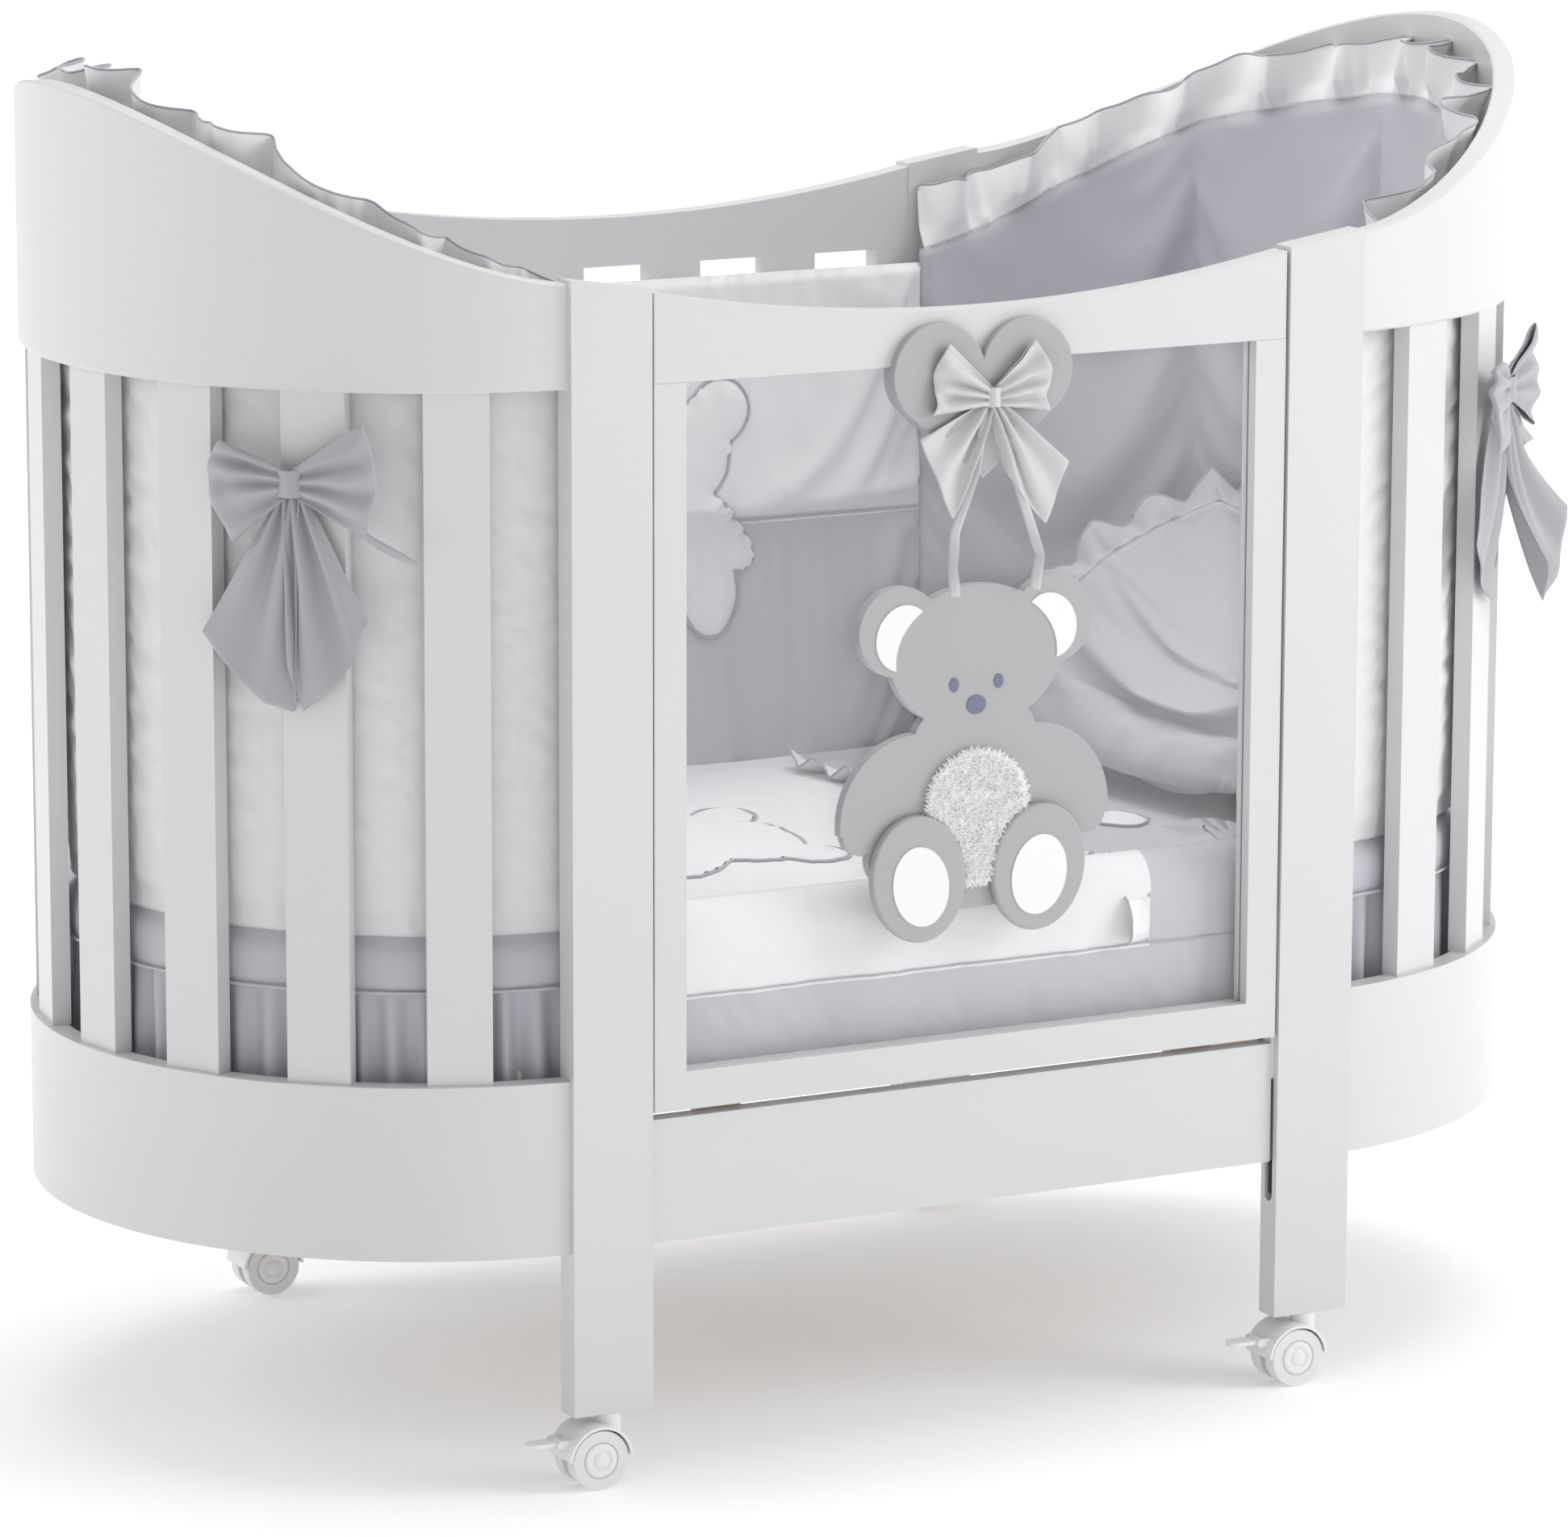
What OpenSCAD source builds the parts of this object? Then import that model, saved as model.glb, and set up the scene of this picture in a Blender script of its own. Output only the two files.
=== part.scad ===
// Oval baby crib: two bowed ends of slats between four posts, a fixed back side,
// and a front side with a clear pane that slides down in grooves in the posts.
// X runs along the crib with the head end at +X, the dropping side faces -Y, +Z is up.
// The origin is on the floor under the middle of the crib.

/* [Overall] */
// Length between the outer side faces of the posts
post_span = 740; // [640:5:860]
// Depth between the front and back faces of the posts
body_d = 694; // [620:2:760]
// Height of the post undersides above the floor
leg_z = 62; // [62:1:90]
// How far inside the posts' outer faces the centre of each bowed end lies
end_inset = 36; // [20:1:60]

/* [Posts] */
// Width of a post along the crib
post_w = 72; // [55:1:90]
// Depth of a post
post_t = 25; // [22:1:36]
// Setback of the bowed boards behind the post face, where they meet a post
board_set = 6; // [3:0.5:12]

/* [Boards and rim] */
// Thickness of the bowed boards
board_t = 19; // [16:0.5:24]
// Underside of the lower boards
low_z = 199; // [150:1:230]
// Height of the lower boards
low_h = 145; // [110:1:170]
// Clear height of the slats between the lower and the upper boards
slat_h = 566; // [450:1:640]
// Height of the upper bowed board at a post
rim_h = 85; // [70:1:110]
// Extra height of the upper bowed board at the far end
rim_rise = 142; // [40:1:180]
// Height of the straight top rails at mid length
rail_mid_h = 44; // [36:1:60]
// Extra height of the straight top rails at their ends
rail_rise = 30; // [10:1:40]
// Fall of a post's top from its outer to its inner side
post_fall = 11; // [4:1:20]
// Height of a post's outer top edge above the bowed board beside it
post_proud = 3; // [0:0.5:8]

/* [Slats] */
// Width of a slat
slat_w = 53; // [40:1:60]
// Thickness of a slat
slat_t = 16; // [14:0.5:18]
// Setback of the slats behind the outer face of the boards
slat_set = 6; // [2:0.5:8]
// Number of slats in a bowed end
end_slats = 8; // [6:2:10]
// Number of slats in the back side
back_slats_n = 4; // [3:1:6]
// Width of the stiles of the back side
back_stile_w = 32; // [26:1:44]
// Diameter of the dowels
dowel_d = 8; // [6:1:8]
// Length of a dowel in each of the two pieces it joins
dowel_half = 12; // [8:1:16]

/* [Drop side] */
// Thickness of the rails and stiles of the drop side
gate_t = 22; // [20:0.5:26]
// Setback of the drop side behind the post faces
gate_set = 2; // [0:0.5:4]
// Gap between the drop side and the posts, each end
gate_gap = 2.5; // [1.5:0.5:5]
// Width of the stiles
stile_w = 29; // [24:1:44]
// Height of the bottom rail
gate_rail_h = 32; // [28:1:44]
// Gap between the bottom rail and the lower front board
apron_gap = 7; // [3:0.5:12]
// Setback of the lower front board behind the post faces
apron_set = 7; // [4:0.5:9]
// Height of the lower front board
apron_h = 104; // [80:1:110]
// Travel of the drop side
drop = 70; // [30:1:74]
// Thickness of the clear pane
pane_t = 4; // [3:0.5:5]
// Setback of the pane behind the front of the stiles
pane_set = 11; // [9:0.5:12]
// Depth that the pane sits in the frame all round
rebate = 8; // [6:0.5:9]
// Play round the pane in its rebate
pane_play = 0.5; // [0.3:0.1:1]

/* [Grooves and guides] */
// Width of the groove in the posts
groove_w = 12; // [10:0.5:13]
// Depth of the groove
groove_d = 11.5; // [9:0.5:14]
// Play of the guide shoe, each side
shoe_play = 0.4; // [0.3:0.1:0.8]
// Length of the guide shoe
shoe_l = 152; // [90:1:170]
// Height of the shoe's lower end above the floor
shoe_z = 270; // [240:1:300]
// Height of the top of the groove above the floor
groove_top = 783; // [700:1:840]
// Height of the upper guide pin above the floor
pin_z = 755; // [690:1:775]
// Diameter of the upper guide pin
pin_d = 10; // [8:0.5:10]
// Free length of the rubber stop in the bottom of the groove
stop_l = 28; // [10:1:34]

/* [Ornaments] */
// Width of the heart
heart_w = 164; // [120:1:190]
// Thickness of the heart
heart_t = 8; // [6:0.5:9]
// Thickness of the bear's board
bear_t = 10; // [6:0.5:10.5]
// Thickness of the bear's feet
foot_t = 9; // [5:0.5:9]

/* [Casters] */
// Diameter of the wheels
wheel_d = 50; // [44:1:50]
// Width of each of the twin wheels
wheel_w = 15; // [12:0.5:16]
// Distance from the swivel axis to the wheel axle
trail = 15; // [12:1:18]
// Diameter of the swivel stem
stem_d = 8; // [7:0.5:9]
// Diameter of the axle
axle_d = 6; // [5:0.5:7]
// Radial play of the stem and the axle
run_play = 0.05; // [0.02:0.01:0.09]

/* [Bedding] */
// Thickness of the mattress
mattress_t = 100; // [70:1:120]
// Play between the mattress and the inner face of the slats
mattress_play = 18; // [14:1:40]
// Thickness of the bumper
bumper_t = 35; // [20:1:45]
// Thickness of the duvet
duvet_t = 26; // [15:1:40]
// Thickness of the plywood deck
deck_t = 12; // [9:1:18]

/* [Hidden] */
$fn = 64;
white = [0.93, 0.93, 0.94];
grey = [0.73, 0.74, 0.745];
cloth_grey = [0.71, 0.72, 0.75];
cloth_white = [0.93, 0.93, 0.95];
raw_wood = [0.78, 0.63, 0.45];

// Places worked out from the sizes above
half_span = post_span / 2;
half_d = body_d / 2;
half_in = half_span - post_w;
post_x = half_span - post_w / 2;
post_y = half_d - post_t / 2;
end_cx = half_span - end_inset;
end_r = sqrt(pow(half_d - board_set, 2) + pow(end_inset, 2));
end_a = acos(end_inset / end_r);
up_z = low_z + low_h + slat_h;
low_top = low_z + low_h;
rim_post = up_z + rim_h;
post_top = rim_post + post_proud;

// Slats of a bowed end, evenly spaced round it
slat_out_r = end_r - slat_set;
slat_in_r = slat_out_r - slat_t;
slat_a = 2 * asin(slat_w / 2 / slat_out_r);
gap_a = (2 * end_a - end_slats * slat_a) / (end_slats + 1);
function end_slat_angle(k) = -end_a + gap_a * (k + 1) + slat_a * (k + 0.5);
slat_dowel_r = (slat_out_r + slat_in_r) / 2 + 2;

// Back side
back_in = half_in - back_stile_w;
back_gap = (2 * back_in - back_slats_n * slat_w) / (back_slats_n + 1);
function back_slat_x(k) = -back_in + back_gap * (k + 1) + slat_w * (k + 0.5);
side_out = half_d - gate_set;
side_in = side_out - gate_t;
side_mid = side_out - gate_t / 2;
back_slat_y = side_in + slat_t / 2;

// Drop side
gate_l = half_in - gate_gap;
gate_rail_z = low_z + apron_h + apron_gap;
stile_z = gate_rail_z + gate_rail_h;
pane_x = gate_l - stile_w + rebate;
pane_y = side_out - pane_set;
groove_x = half_in + groove_d;
shoe_end = groove_x - 1.5;
shoe_w = groove_w - 2 * shoe_play;
stop_gap = 3;
stop_z = shoe_z - drop - stop_gap - stop_l;

// Dowels between boards and posts: place on the post's outer face, heights
dowel_in = 20;
board_dowel_y = sqrt(pow(end_r - board_t / 2, 2) - pow(end_inset, 2));
board_dowel_z = [low_z + dowel_in, low_top - dowel_in, up_z + dowel_in, rim_post - dowel_in];
back_dowel_z = [low_z + dowel_in, low_top - dowel_in, up_z + dowel_in];

// Casters
caster_play = 0.6;
socket_d = 11;
socket_l = 38;
wheel_r = wheel_d / 2;
wheel_gap = 9;
hood_play = 1.5;
hood_t = 2.5;
hood_r = wheel_r + hood_play + hood_t;
boss_d = 22;
boss_top = leg_z - caster_play;
hood_w = wheel_gap + 2 * wheel_w + 2;
pedal_pin_d = 3;
pedal_pin_x = -hood_r - 3;
pedal_pin_z = wheel_r + 15;
pedal_w = 16;

// Bedding
bed_r = slat_in_r - mattress_play;
deck_top = low_top + 2;
mattress_top = deck_top + mattress_t;
bumper_z = mattress_top + 10;
bumper_r = slat_in_r - 4;
bumper_head_end = half_in + 7;
bumper_drop = 78;
valance_t = 3;

// Height of the rim of a bowed end, from the angle round it
function rim_z(a) = rim_post + rim_rise * pow(sin(90 * max(0, 1 - abs(a) / end_a)), 1.5);
function ellipse(x, y, rx, ry, turn = 0, n = 48) = [
    for (i = [0 : n - 1])
        let (a = 360 * i / n, u = rx * cos(a), v = ry * sin(a))
        [x + u * cos(turn) - v * sin(turn), y + u * sin(turn) + v * cos(turn)]
];

// Both ends are made at the head end and mirrored to the foot end
module at_end(side) {
    mirror([side < 0 ? 1 : 0, 0, 0]) children();
}
// An outline in X and Z, made a board whose front face is at y
module board_xz(y, t) {
    translate([0, y + t, 0]) rotate([90, 0, 0]) linear_extrude(t) children();
}
// A ring wall round the end's centre, beyond x0
module bowed_wall(r_out, r_in, z0, h, x0) {
    intersection() {
        translate([end_cx, 0, z0]) difference() {
            cylinder(r = r_out, h = h, $fn = 180);
            translate([0, 0, -1]) cylinder(r = r_in, h = h + 2, $fn = 180);
        }
        translate([x0, -half_d, z0 - 1]) cube([end_cx + end_r, body_d, h + 2]);
    }
}

// ---- posts ----
module post_blank() {
    rotate([90, 0, 0]) linear_extrude(post_t) polygon([
        [half_in, leg_z], [half_span, leg_z], [half_span, post_top], [half_in, post_top - post_fall]
    ]);
}
module socket_bore() {
    translate([post_x, -post_y, leg_z - 1]) cylinder(d = socket_d, h = socket_l + 1);
}
module board_dowel_bores() {
    for (z = board_dowel_z)
        translate([half_span - dowel_half, -board_dowel_y, z]) rotate([0, 90, 0])
            cylinder(d = dowel_d, h = 2 * dowel_half);
}
module groove() {
    translate([half_in - 1, -side_mid, stop_z]) {
        translate([0, -groove_w / 2, 0]) cube([groove_d + 1, groove_w, groove_top - groove_w / 2 - stop_z]);
        rotate([0, 90, 0]) cylinder(d = groove_w, h = groove_d + 1);
    }
    translate([half_in - 1, -side_mid, groove_top - groove_w / 2]) rotate([0, 90, 0])
        cylinder(d = groove_w, h = groove_d + 1);
}
module front_post(side) {
    color(white) at_end(side) difference() {
        translate([0, -half_d + post_t, 0]) post_blank();
        socket_bore();
        board_dowel_bores();
        groove();
    }
}
module back_post(side) {
    color(white) at_end(side) mirror([0, 1, 0]) difference() {
        translate([0, -half_d + post_t, 0]) post_blank();
        socket_bore();
        board_dowel_bores();
        for (z = back_dowel_z)
            translate([half_in - 1, -side_mid, z]) rotate([0, 90, 0]) cylinder(d = dowel_d, h = dowel_half + 1);
    }
}

// ---- bowed ends ----
module end_slat_bores(z) {
    for (k = [0 : end_slats - 1])
        translate([end_cx, 0, 0]) rotate(end_slat_angle(k))
            translate([slat_dowel_r, 0, z - dowel_half]) cylinder(d = dowel_d, h = 2 * dowel_half);
}
rim_steps = 48;
rim_ease = 2;
// Section of the upper board at one angle, with its edges eased
function rim_section(a) =
    let (r0 = end_r - board_t, r1 = end_r, z1 = rim_z(a), e = rim_ease)
    [
        for (p = [
            [r0 + e, up_z], [r1 - e, up_z], [r1, up_z + e], [r1, z1 - e],
            [r1 - e, z1], [r0 + e, z1], [r0, z1 - e], [r0, up_z + e]
        ]) [end_cx + p[0] * cos(a), p[0] * sin(a), p[1]]
    ];
module rim_board(side) {
    // The sweep runs a little into the posts and is cut off flush with their faces
    run = end_a + 2.5;
    rings = [for (i = [0 : rim_steps]) rim_section(-run + 2 * run * i / rim_steps)];
    n = 8;
    sides = [
        for (i = [0 : rim_steps - 1], j = [0 : n - 1]) each [
            [i * n + j, i * n + (j + 1) % n, (i + 1) * n + j],
            [i * n + (j + 1) % n, (i + 1) * n + (j + 1) % n, (i + 1) * n + j]
        ]
    ];
    caps = [[for (j = [n - 1 : -1 : 0]) j], [for (j = [0 : n - 1]) rim_steps * n + j]];
    color(white) at_end(side) difference() {
        polyhedron([for (r = rings) each r], concat(sides, caps));
        translate([half_span - 60, -half_d, up_z - 1]) cube([60, body_d, rim_post - up_z + 60]);
        end_slat_bores(up_z);
        board_dowel_bores();
        mirror([0, 1, 0]) board_dowel_bores();
    }
}
module low_board(side) {
    color(white) at_end(side) difference() {
        bowed_wall(end_r, end_r - board_t, low_z, low_h, half_span);
        end_slat_bores(low_top);
        board_dowel_bores();
        mirror([0, 1, 0]) board_dowel_bores();
    }
}
module end_slats_set(side) {
    color(white) at_end(side) difference() {
        for (k = [0 : end_slats - 1])
            translate([end_cx, 0, 0]) rotate(end_slat_angle(k))
                translate([slat_in_r, -slat_w / 2, low_top]) cube([slat_t, slat_w, slat_h]);
        end_slat_bores(low_top);
        end_slat_bores(up_z);
    }
}

// ---- back side ----
module arched_rail(length) {
    steps = 24;
    polygon(concat(
        [[-length, up_z], [length, up_z]],
        [for (i = [0 : steps])
            let (u = 1 - 2 * i / steps)
            [length * u, up_z + rail_mid_h + rail_rise * u * u]]
    ));
}
module back_slat_bores(z) {
    for (k = [0 : back_slats_n - 1])
        translate([back_slat_x(k), back_slat_y, z - dowel_half]) cylinder(d = dowel_d, h = 2 * dowel_half);
    for (s = [-1, 1])
        translate([s * (half_in - back_stile_w / 2), side_mid, z - dowel_half])
            cylinder(d = dowel_d, h = 2 * dowel_half);
}
module back_end_bores(z) {
    for (s = [-1, 1])
        translate([s * half_in, side_mid, z]) rotate([0, 90, 0])
            translate([0, 0, -dowel_half]) cylinder(d = dowel_d, h = 2 * dowel_half);
}
module back_top_rail() {
    color(white) difference() {
        board_xz(side_in, gate_t) arched_rail(half_in);
        back_slat_bores(up_z);
        back_end_bores(back_dowel_z[2]);
    }
}
module back_low_board() {
    color(white) difference() {
        translate([-half_in, side_in, low_z]) cube([2 * half_in, gate_t, low_h]);
        back_slat_bores(low_top);
        for (i = [0, 1]) back_end_bores(back_dowel_z[i]);
    }
}
module back_stiles() {
    color(white) difference() {
        for (s = [-1, 1])
            translate([s * (half_in - back_stile_w / 2) - back_stile_w / 2, side_in, low_top])
                cube([back_stile_w, gate_t, slat_h]);
        back_slat_bores(low_top);
        back_slat_bores(up_z);
    }
}
module back_slats() {
    color(white) difference() {
        for (k = [0 : back_slats_n - 1])
            translate([back_slat_x(k) - slat_w / 2, side_in, low_top]) cube([slat_w, slat_t, slat_h]);
        back_slat_bores(low_top);
        back_slat_bores(up_z);
    }
}
module dowels() {
    color(raw_wood) {
        for (side = [-1, 1]) at_end(side) {
            for (f = [0, 1]) mirror([0, f, 0]) board_dowel_bores();
            end_slat_bores(low_top);
            end_slat_bores(up_z);
        }
        back_slat_bores(low_top);
        back_slat_bores(up_z);
        for (z = back_dowel_z) back_end_bores(z);
    }
}

// ---- mattress base ----
module oval(r, z, h) {
    translate([-end_cx, -r, z]) cube([2 * end_cx, 2 * r, h]);
    for (s = [-1, 1]) translate([s * end_cx, 0, z]) cylinder(r = r, h = h, $fn = 120);
}
cross_w = 30;
cross_h = 44;
long_h = 30;
long_y = bed_r / 2;
long_l = end_cx + bed_r * 0.7;
cross_z = deck_top - deck_t - long_h - cross_h;
cross_end = half_d - post_t - 3.5;
bracket_t = 3;
vent_d = 26;
vent_pitch = 120;
module deck() {
    color(raw_wood) difference() {
        oval(bed_r, deck_top - deck_t, deck_t);
        for (i = [-4 : 4], j = [-1.5, -0.5, 0.5, 1.5])
            translate([i * vent_pitch, j * vent_pitch * 0.75, deck_top - deck_t - 1])
                cylinder(d = vent_d, h = deck_t + 2);
    }
}
module cross_rails() {
    color(raw_wood) for (s = [-1, 1])
        translate([s * post_x - cross_w / 2, -cross_end, cross_z]) cube([cross_w, 2 * cross_end, cross_h]);
}
module long_rails() {
    color(raw_wood) for (s = [-1, 1])
        translate([-long_l, s * long_y - long_h / 2, cross_z + cross_h]) cube([2 * long_l, long_h, long_h]);
}
module deck_brackets() {
    wide = 40;
    face = half_d - post_t;
    color("silver") for (sx = [-1, 1], sy = [0, 1]) mirror([0, sy, 0])
        translate([sx * post_x - wide / 2, 0, 0]) {
            difference() {
                translate([0, face - bracket_t, cross_z - bracket_t]) cube([wide, bracket_t, cross_h]);
                for (dx = [10, wide - 10])
                    translate([dx, face - bracket_t - 1, cross_z + cross_h - 14]) rotate([-90, 0, 0])
                        cylinder(d = 5, h = bracket_t + 2);
            }
            translate([0, face - 50, cross_z - bracket_t]) cube([wide, 50 - bracket_t, bracket_t]);
        }
}
module drop_stops() {
    color([0.2, 0.2, 0.21]) for (side = [-1, 1]) at_end(side)
        translate([half_in + groove_d / 2, -side_mid, stop_z]) cylinder(d = groove_d - 1.5, h = stop_l);
}

// ---- bedding ----
module mattress() {
    color(cloth_white) oval(bed_r, deck_top, mattress_t);
}
module duvet() {
    color(cloth_white) oval(bed_r - bumper_t, mattress_top + 0.5, duvet_t);
}
pillow_t = 90;
pillow_y = 150;
module pillow() {
    z0 = mattress_top + duvet_t + 2;
    color(cloth_grey) hull() {
        translate([end_cx + 52, -pillow_y, z0 + 22]) rotate([-90, 0, 0]) cylinder(d = 40, h = 2 * pillow_y, $fn = 24);
        translate([end_cx + 178, -pillow_y, z0 + 244]) rotate([-90, 0, 0]) cylinder(d = 40, h = 2 * pillow_y, $fn = 24);
        translate([end_cx + 98, -pillow_y, z0 + 150]) rotate([-90, 0, 0]) cylinder(d = pillow_t, h = 2 * pillow_y, $fn = 24);
    }
}
// The bumper's top follows the rim, bumper_drop below it
function rim_x(a) = end_cx + end_r * cos(a);
module bumper_end(side) {
    steps = 8;
    color(cloth_grey) at_end(side) intersection() {
        bowed_wall(bumper_r, bumper_r - bumper_t, bumper_z, rim_post + rim_rise - bumper_z, bumper_head_end);
        board_xz(-half_d, body_d) polygon(concat(
            [[rim_x(0) + 5, bumper_z - 1], [bumper_head_end - 5, bumper_z - 1], [bumper_head_end - 5, up_z]],
            [for (i = [0 : steps])
                let (a = end_a * (1 - i / steps))
                [rim_x(a), rim_z(a) - bumper_drop]],
            [[rim_x(0) + 5, rim_z(0) - bumper_drop]]
        ));
    }
}
bumper_back_top = 898;
module bumper_back() {
    long = bumper_head_end - 3;
    back_face = min(side_in, half_d - post_t) - 3;
    color(cloth_white) translate([-long, back_face - bumper_t, bumper_z])
        cube([2 * long, bumper_t, bumper_back_top - bumper_z]);
}
module valance(side) {
    color(cloth_grey) at_end(side)
        bowed_wall(slat_in_r - 2.5, slat_in_r - 2.5 - valance_t, low_z + 60, bumper_z - low_z - 62, half_span + 4);
}
bow_z = 838;
bow_a = -end_slat_angle(end_slats - 2);
// A tied bow's outline, about its knot
module bow_outline(w, h, tail) {
    polygon([
        [0, h * 0.16], [w * 0.5, h * 0.5], [w * 0.5, -h * 0.42], [w * 0.16, -h * 0.16],
        [w * 0.46, -tail * 0.8], [w * 0.1, -tail], [0, -h * 0.3],
        [-w * 0.1, -tail], [-w * 0.46, -tail * 0.8], [-w * 0.16, -h * 0.16],
        [-w * 0.5, -h * 0.42], [-w * 0.5, h * 0.5]
    ]);
}
module end_bow(side) {
    color(cloth_grey) at_end(side) translate([end_cx, 0, bow_z]) rotate(bow_a) {
        translate([end_r + 2, 0, 0]) rotate([90, 0, 90]) linear_extrude(9) bow_outline(130, 110, 185);
        translate([slat_out_r, -12, -12]) cube([end_r + 2 - slat_out_r, 24, 24]);
    }
}

// ---- drop side ----
module pane_seat() {
    translate([-pane_x, -pane_y, stile_z - rebate])
        cube([2 * pane_x, gate_t, up_z - stile_z + 2 * rebate]);
}
gate_dowel_x = gate_l - (stile_w - rebate) / 2;
module gate_dowel_set() {
    for (s = [-1, 1], z = [stile_z, up_z])
        translate([s * gate_dowel_x, -side_mid, z - dowel_half]) cylinder(d = dowel_d, h = 2 * dowel_half);
}
// How far a shoe screw reaches into the gate, short of the pane
screw_grip = 18;
module shoe_screw_holes() {
    for (side = [-1, 1], z = shoe_screw_z) at_end(side)
        translate([gate_l - screw_grip, -side_mid, z]) rotate([0, 90, 0]) {
            cylinder(d = 4, h = screw_grip + shoe_end - gate_l);
            translate([0, 0, screw_grip + shoe_end - gate_l - 3]) cylinder(d = 8, h = 3);
        }
}
shoe_screw_z = [low_z + apron_h - 18, gate_rail_z + gate_rail_h / 2, shoe_z + shoe_l - 20];
module gate_top_rail() {
    color(white) difference() {
        board_xz(-side_out, gate_t) arched_rail(gate_l);
        pane_seat();
        gate_dowel_set();
    }
}
module gate_bottom_rail() {
    color(white) difference() {
        translate([-gate_l, -side_out, gate_rail_z]) cube([2 * gate_l, gate_t, gate_rail_h]);
        pane_seat();
        gate_dowel_set();
        shoe_screw_holes();
    }
}
module pin_bores() {
    for (side = [-1, 1]) at_end(side)
        translate([gate_l - 14, -side_mid, pin_z]) rotate([0, 90, 0])
            cylinder(d = pin_d, h = 14 + shoe_end - gate_l);
}
module gate_stiles() {
    color(white) difference() {
        for (s = [-1, 1])
            translate([s * (gate_l - stile_w / 2) - stile_w / 2, -side_out, stile_z])
                cube([stile_w, gate_t, up_z - stile_z]);
        pane_seat();
        gate_dowel_set();
        shoe_screw_holes();
        pin_bores();
    }
}
module gate_dowels() {
    color(raw_wood) gate_dowel_set();
}
module gate_pane() {
    color([0.9, 0.95, 0.97, 0.25])
        translate([-pane_x + pane_play, -pane_y, stile_z - rebate + pane_play])
            cube([2 * (pane_x - pane_play), pane_t, up_z - stile_z + 2 * (rebate - pane_play)]);
}
module pane_beads() {
    bead_t = pane_y - pane_t - side_in;
    bead_w = rebate - pane_play;
    joint_gap = 0.2;
    tall = up_z - stile_z + 2 * bead_w;
    wide = 2 * (pane_x - pane_play - bead_w - joint_gap);
    color(white) for (s = [-1, 1]) {
        translate([s * (pane_x - pane_play - bead_w / 2) - bead_w / 2, -pane_y + pane_t, stile_z - bead_w])
            cube([bead_w, bead_t, tall]);
        translate([-wide / 2, -pane_y + pane_t, s > 0 ? up_z : stile_z - bead_w])
            cube([wide, bead_t, bead_w]);
    }
}
module front_apron() {
    apron_front = half_d - apron_set;
    color(white) difference() {
        translate([-gate_l, -apron_front, low_z]) cube([2 * gate_l, apron_front - side_in, apron_h]);
        shoe_screw_holes();
    }
}
batten_w = 40;
batten_t = 14;
// Middle of a batten, clear of the stile
batten_x = gate_l - stile_w - batten_w / 2 - 21.5;
module apron_battens() {
    color(raw_wood) for (s = [-1, 1])
        translate([s * batten_x - batten_w / 2, -side_in, low_z + 16])
            cube([batten_w, batten_t, gate_rail_z + gate_rail_h - rebate - low_z - 20]);
}
module guide_shoes() {
    color(white) difference() {
        for (side = [-1, 1]) at_end(side)
            translate([gate_l, -side_mid, 0]) {
                translate([0, -shoe_w / 2, shoe_z + shoe_w / 2])
                    cube([shoe_end - gate_l, shoe_w, shoe_l - shoe_w]);
                for (z = [shoe_z + shoe_w / 2, shoe_z + shoe_l - shoe_w / 2])
                    translate([0, 0, z]) rotate([0, 90, 0]) cylinder(d = shoe_w, h = shoe_end - gate_l);
            }
        shoe_screw_holes();
    }
}
module guide_pins() {
    color("silver") pin_bores();
}
module shoe_screws() {
    color("silver") shoe_screw_holes();
}

// ---- ornaments ----
heart_z = up_z - 8;
lobe_x = heart_w / 4;
lobe_r = heart_w / 4 + 1.5;
heart_tip = 88;
// Where a straight side of the heart touches its lobe
tip_d = sqrt(pow(lobe_x, 2) + pow(heart_tip, 2));
touch_a = acos(lobe_r / tip_d) - (180 - atan2(heart_tip, lobe_x));
touch_x = lobe_x + lobe_r * cos(touch_a);
touch_z = lobe_r * sin(touch_a);
module heart_shape() {
    for (s = [-1, 1]) translate([s * lobe_x, heart_z]) circle(r = lobe_r, $fn = 96);
    translate([0, heart_z]) polygon([
        [0, -heart_tip], [touch_x, touch_z], [lobe_x, 0], [0, 8], [-lobe_x, 0], [-touch_x, touch_z]
    ]);
}
module heart() {
    color(grey) translate([ornament_x, 0, 0]) board_xz(-side_out - heart_t, heart_t) heart_shape();
}
module heart_spacer() {
    color(grey) translate([ornament_x, 0, 0]) intersection() {
        board_xz(-side_out, pane_set) heart_shape();
        translate([-heart_w, -side_out - 1, heart_z - 2 * heart_tip])
            cube([2 * heart_w, pane_set + 2, up_z - heart_z + 2 * heart_tip - 0.2]);
    }
}
module heart_bow() {
    bow_t = 8;
    color(cloth_white) translate([ornament_x + 3, 0, up_z - 28])
        board_xz(-side_out - heart_t - bow_t, bow_t) bow_outline(124, 100, 105);
}
ornament_x = 2;
bear_z = 530;
bear_front = pane_y + bear_t;
module bear_outline() {
    head_z = bear_z + 134;
    polygon(ellipse(0, head_z, 80, 61));
    // Neck
    polygon(ellipse(0, bear_z + 68, 58, 34));
    for (s = [-1, 1]) {
        translate([s * 72, head_z + 26]) circle(r = 38);
        // Shoulder and arm, then the rounded end of the arm
        intersection() {
            translate([s * 54, bear_z + 1]) circle(r = 73, $fn = 96);
            translate([-150, bear_z - 7]) square([300, 120]);
        }
        translate([s * 107, bear_z - 7]) circle(r = 17);
        translate([s * 60 - 46, bear_z - 20]) square([92, 20]);
    }
    polygon(ellipse(0, bear_z - 30, 101, 48));
}
module bear() {
    color(grey) translate([ornament_x, 0, 0]) board_xz(-bear_front, bear_t) bear_outline();
}
foot_x = 57;
foot_z = bear_z - 47;
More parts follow.
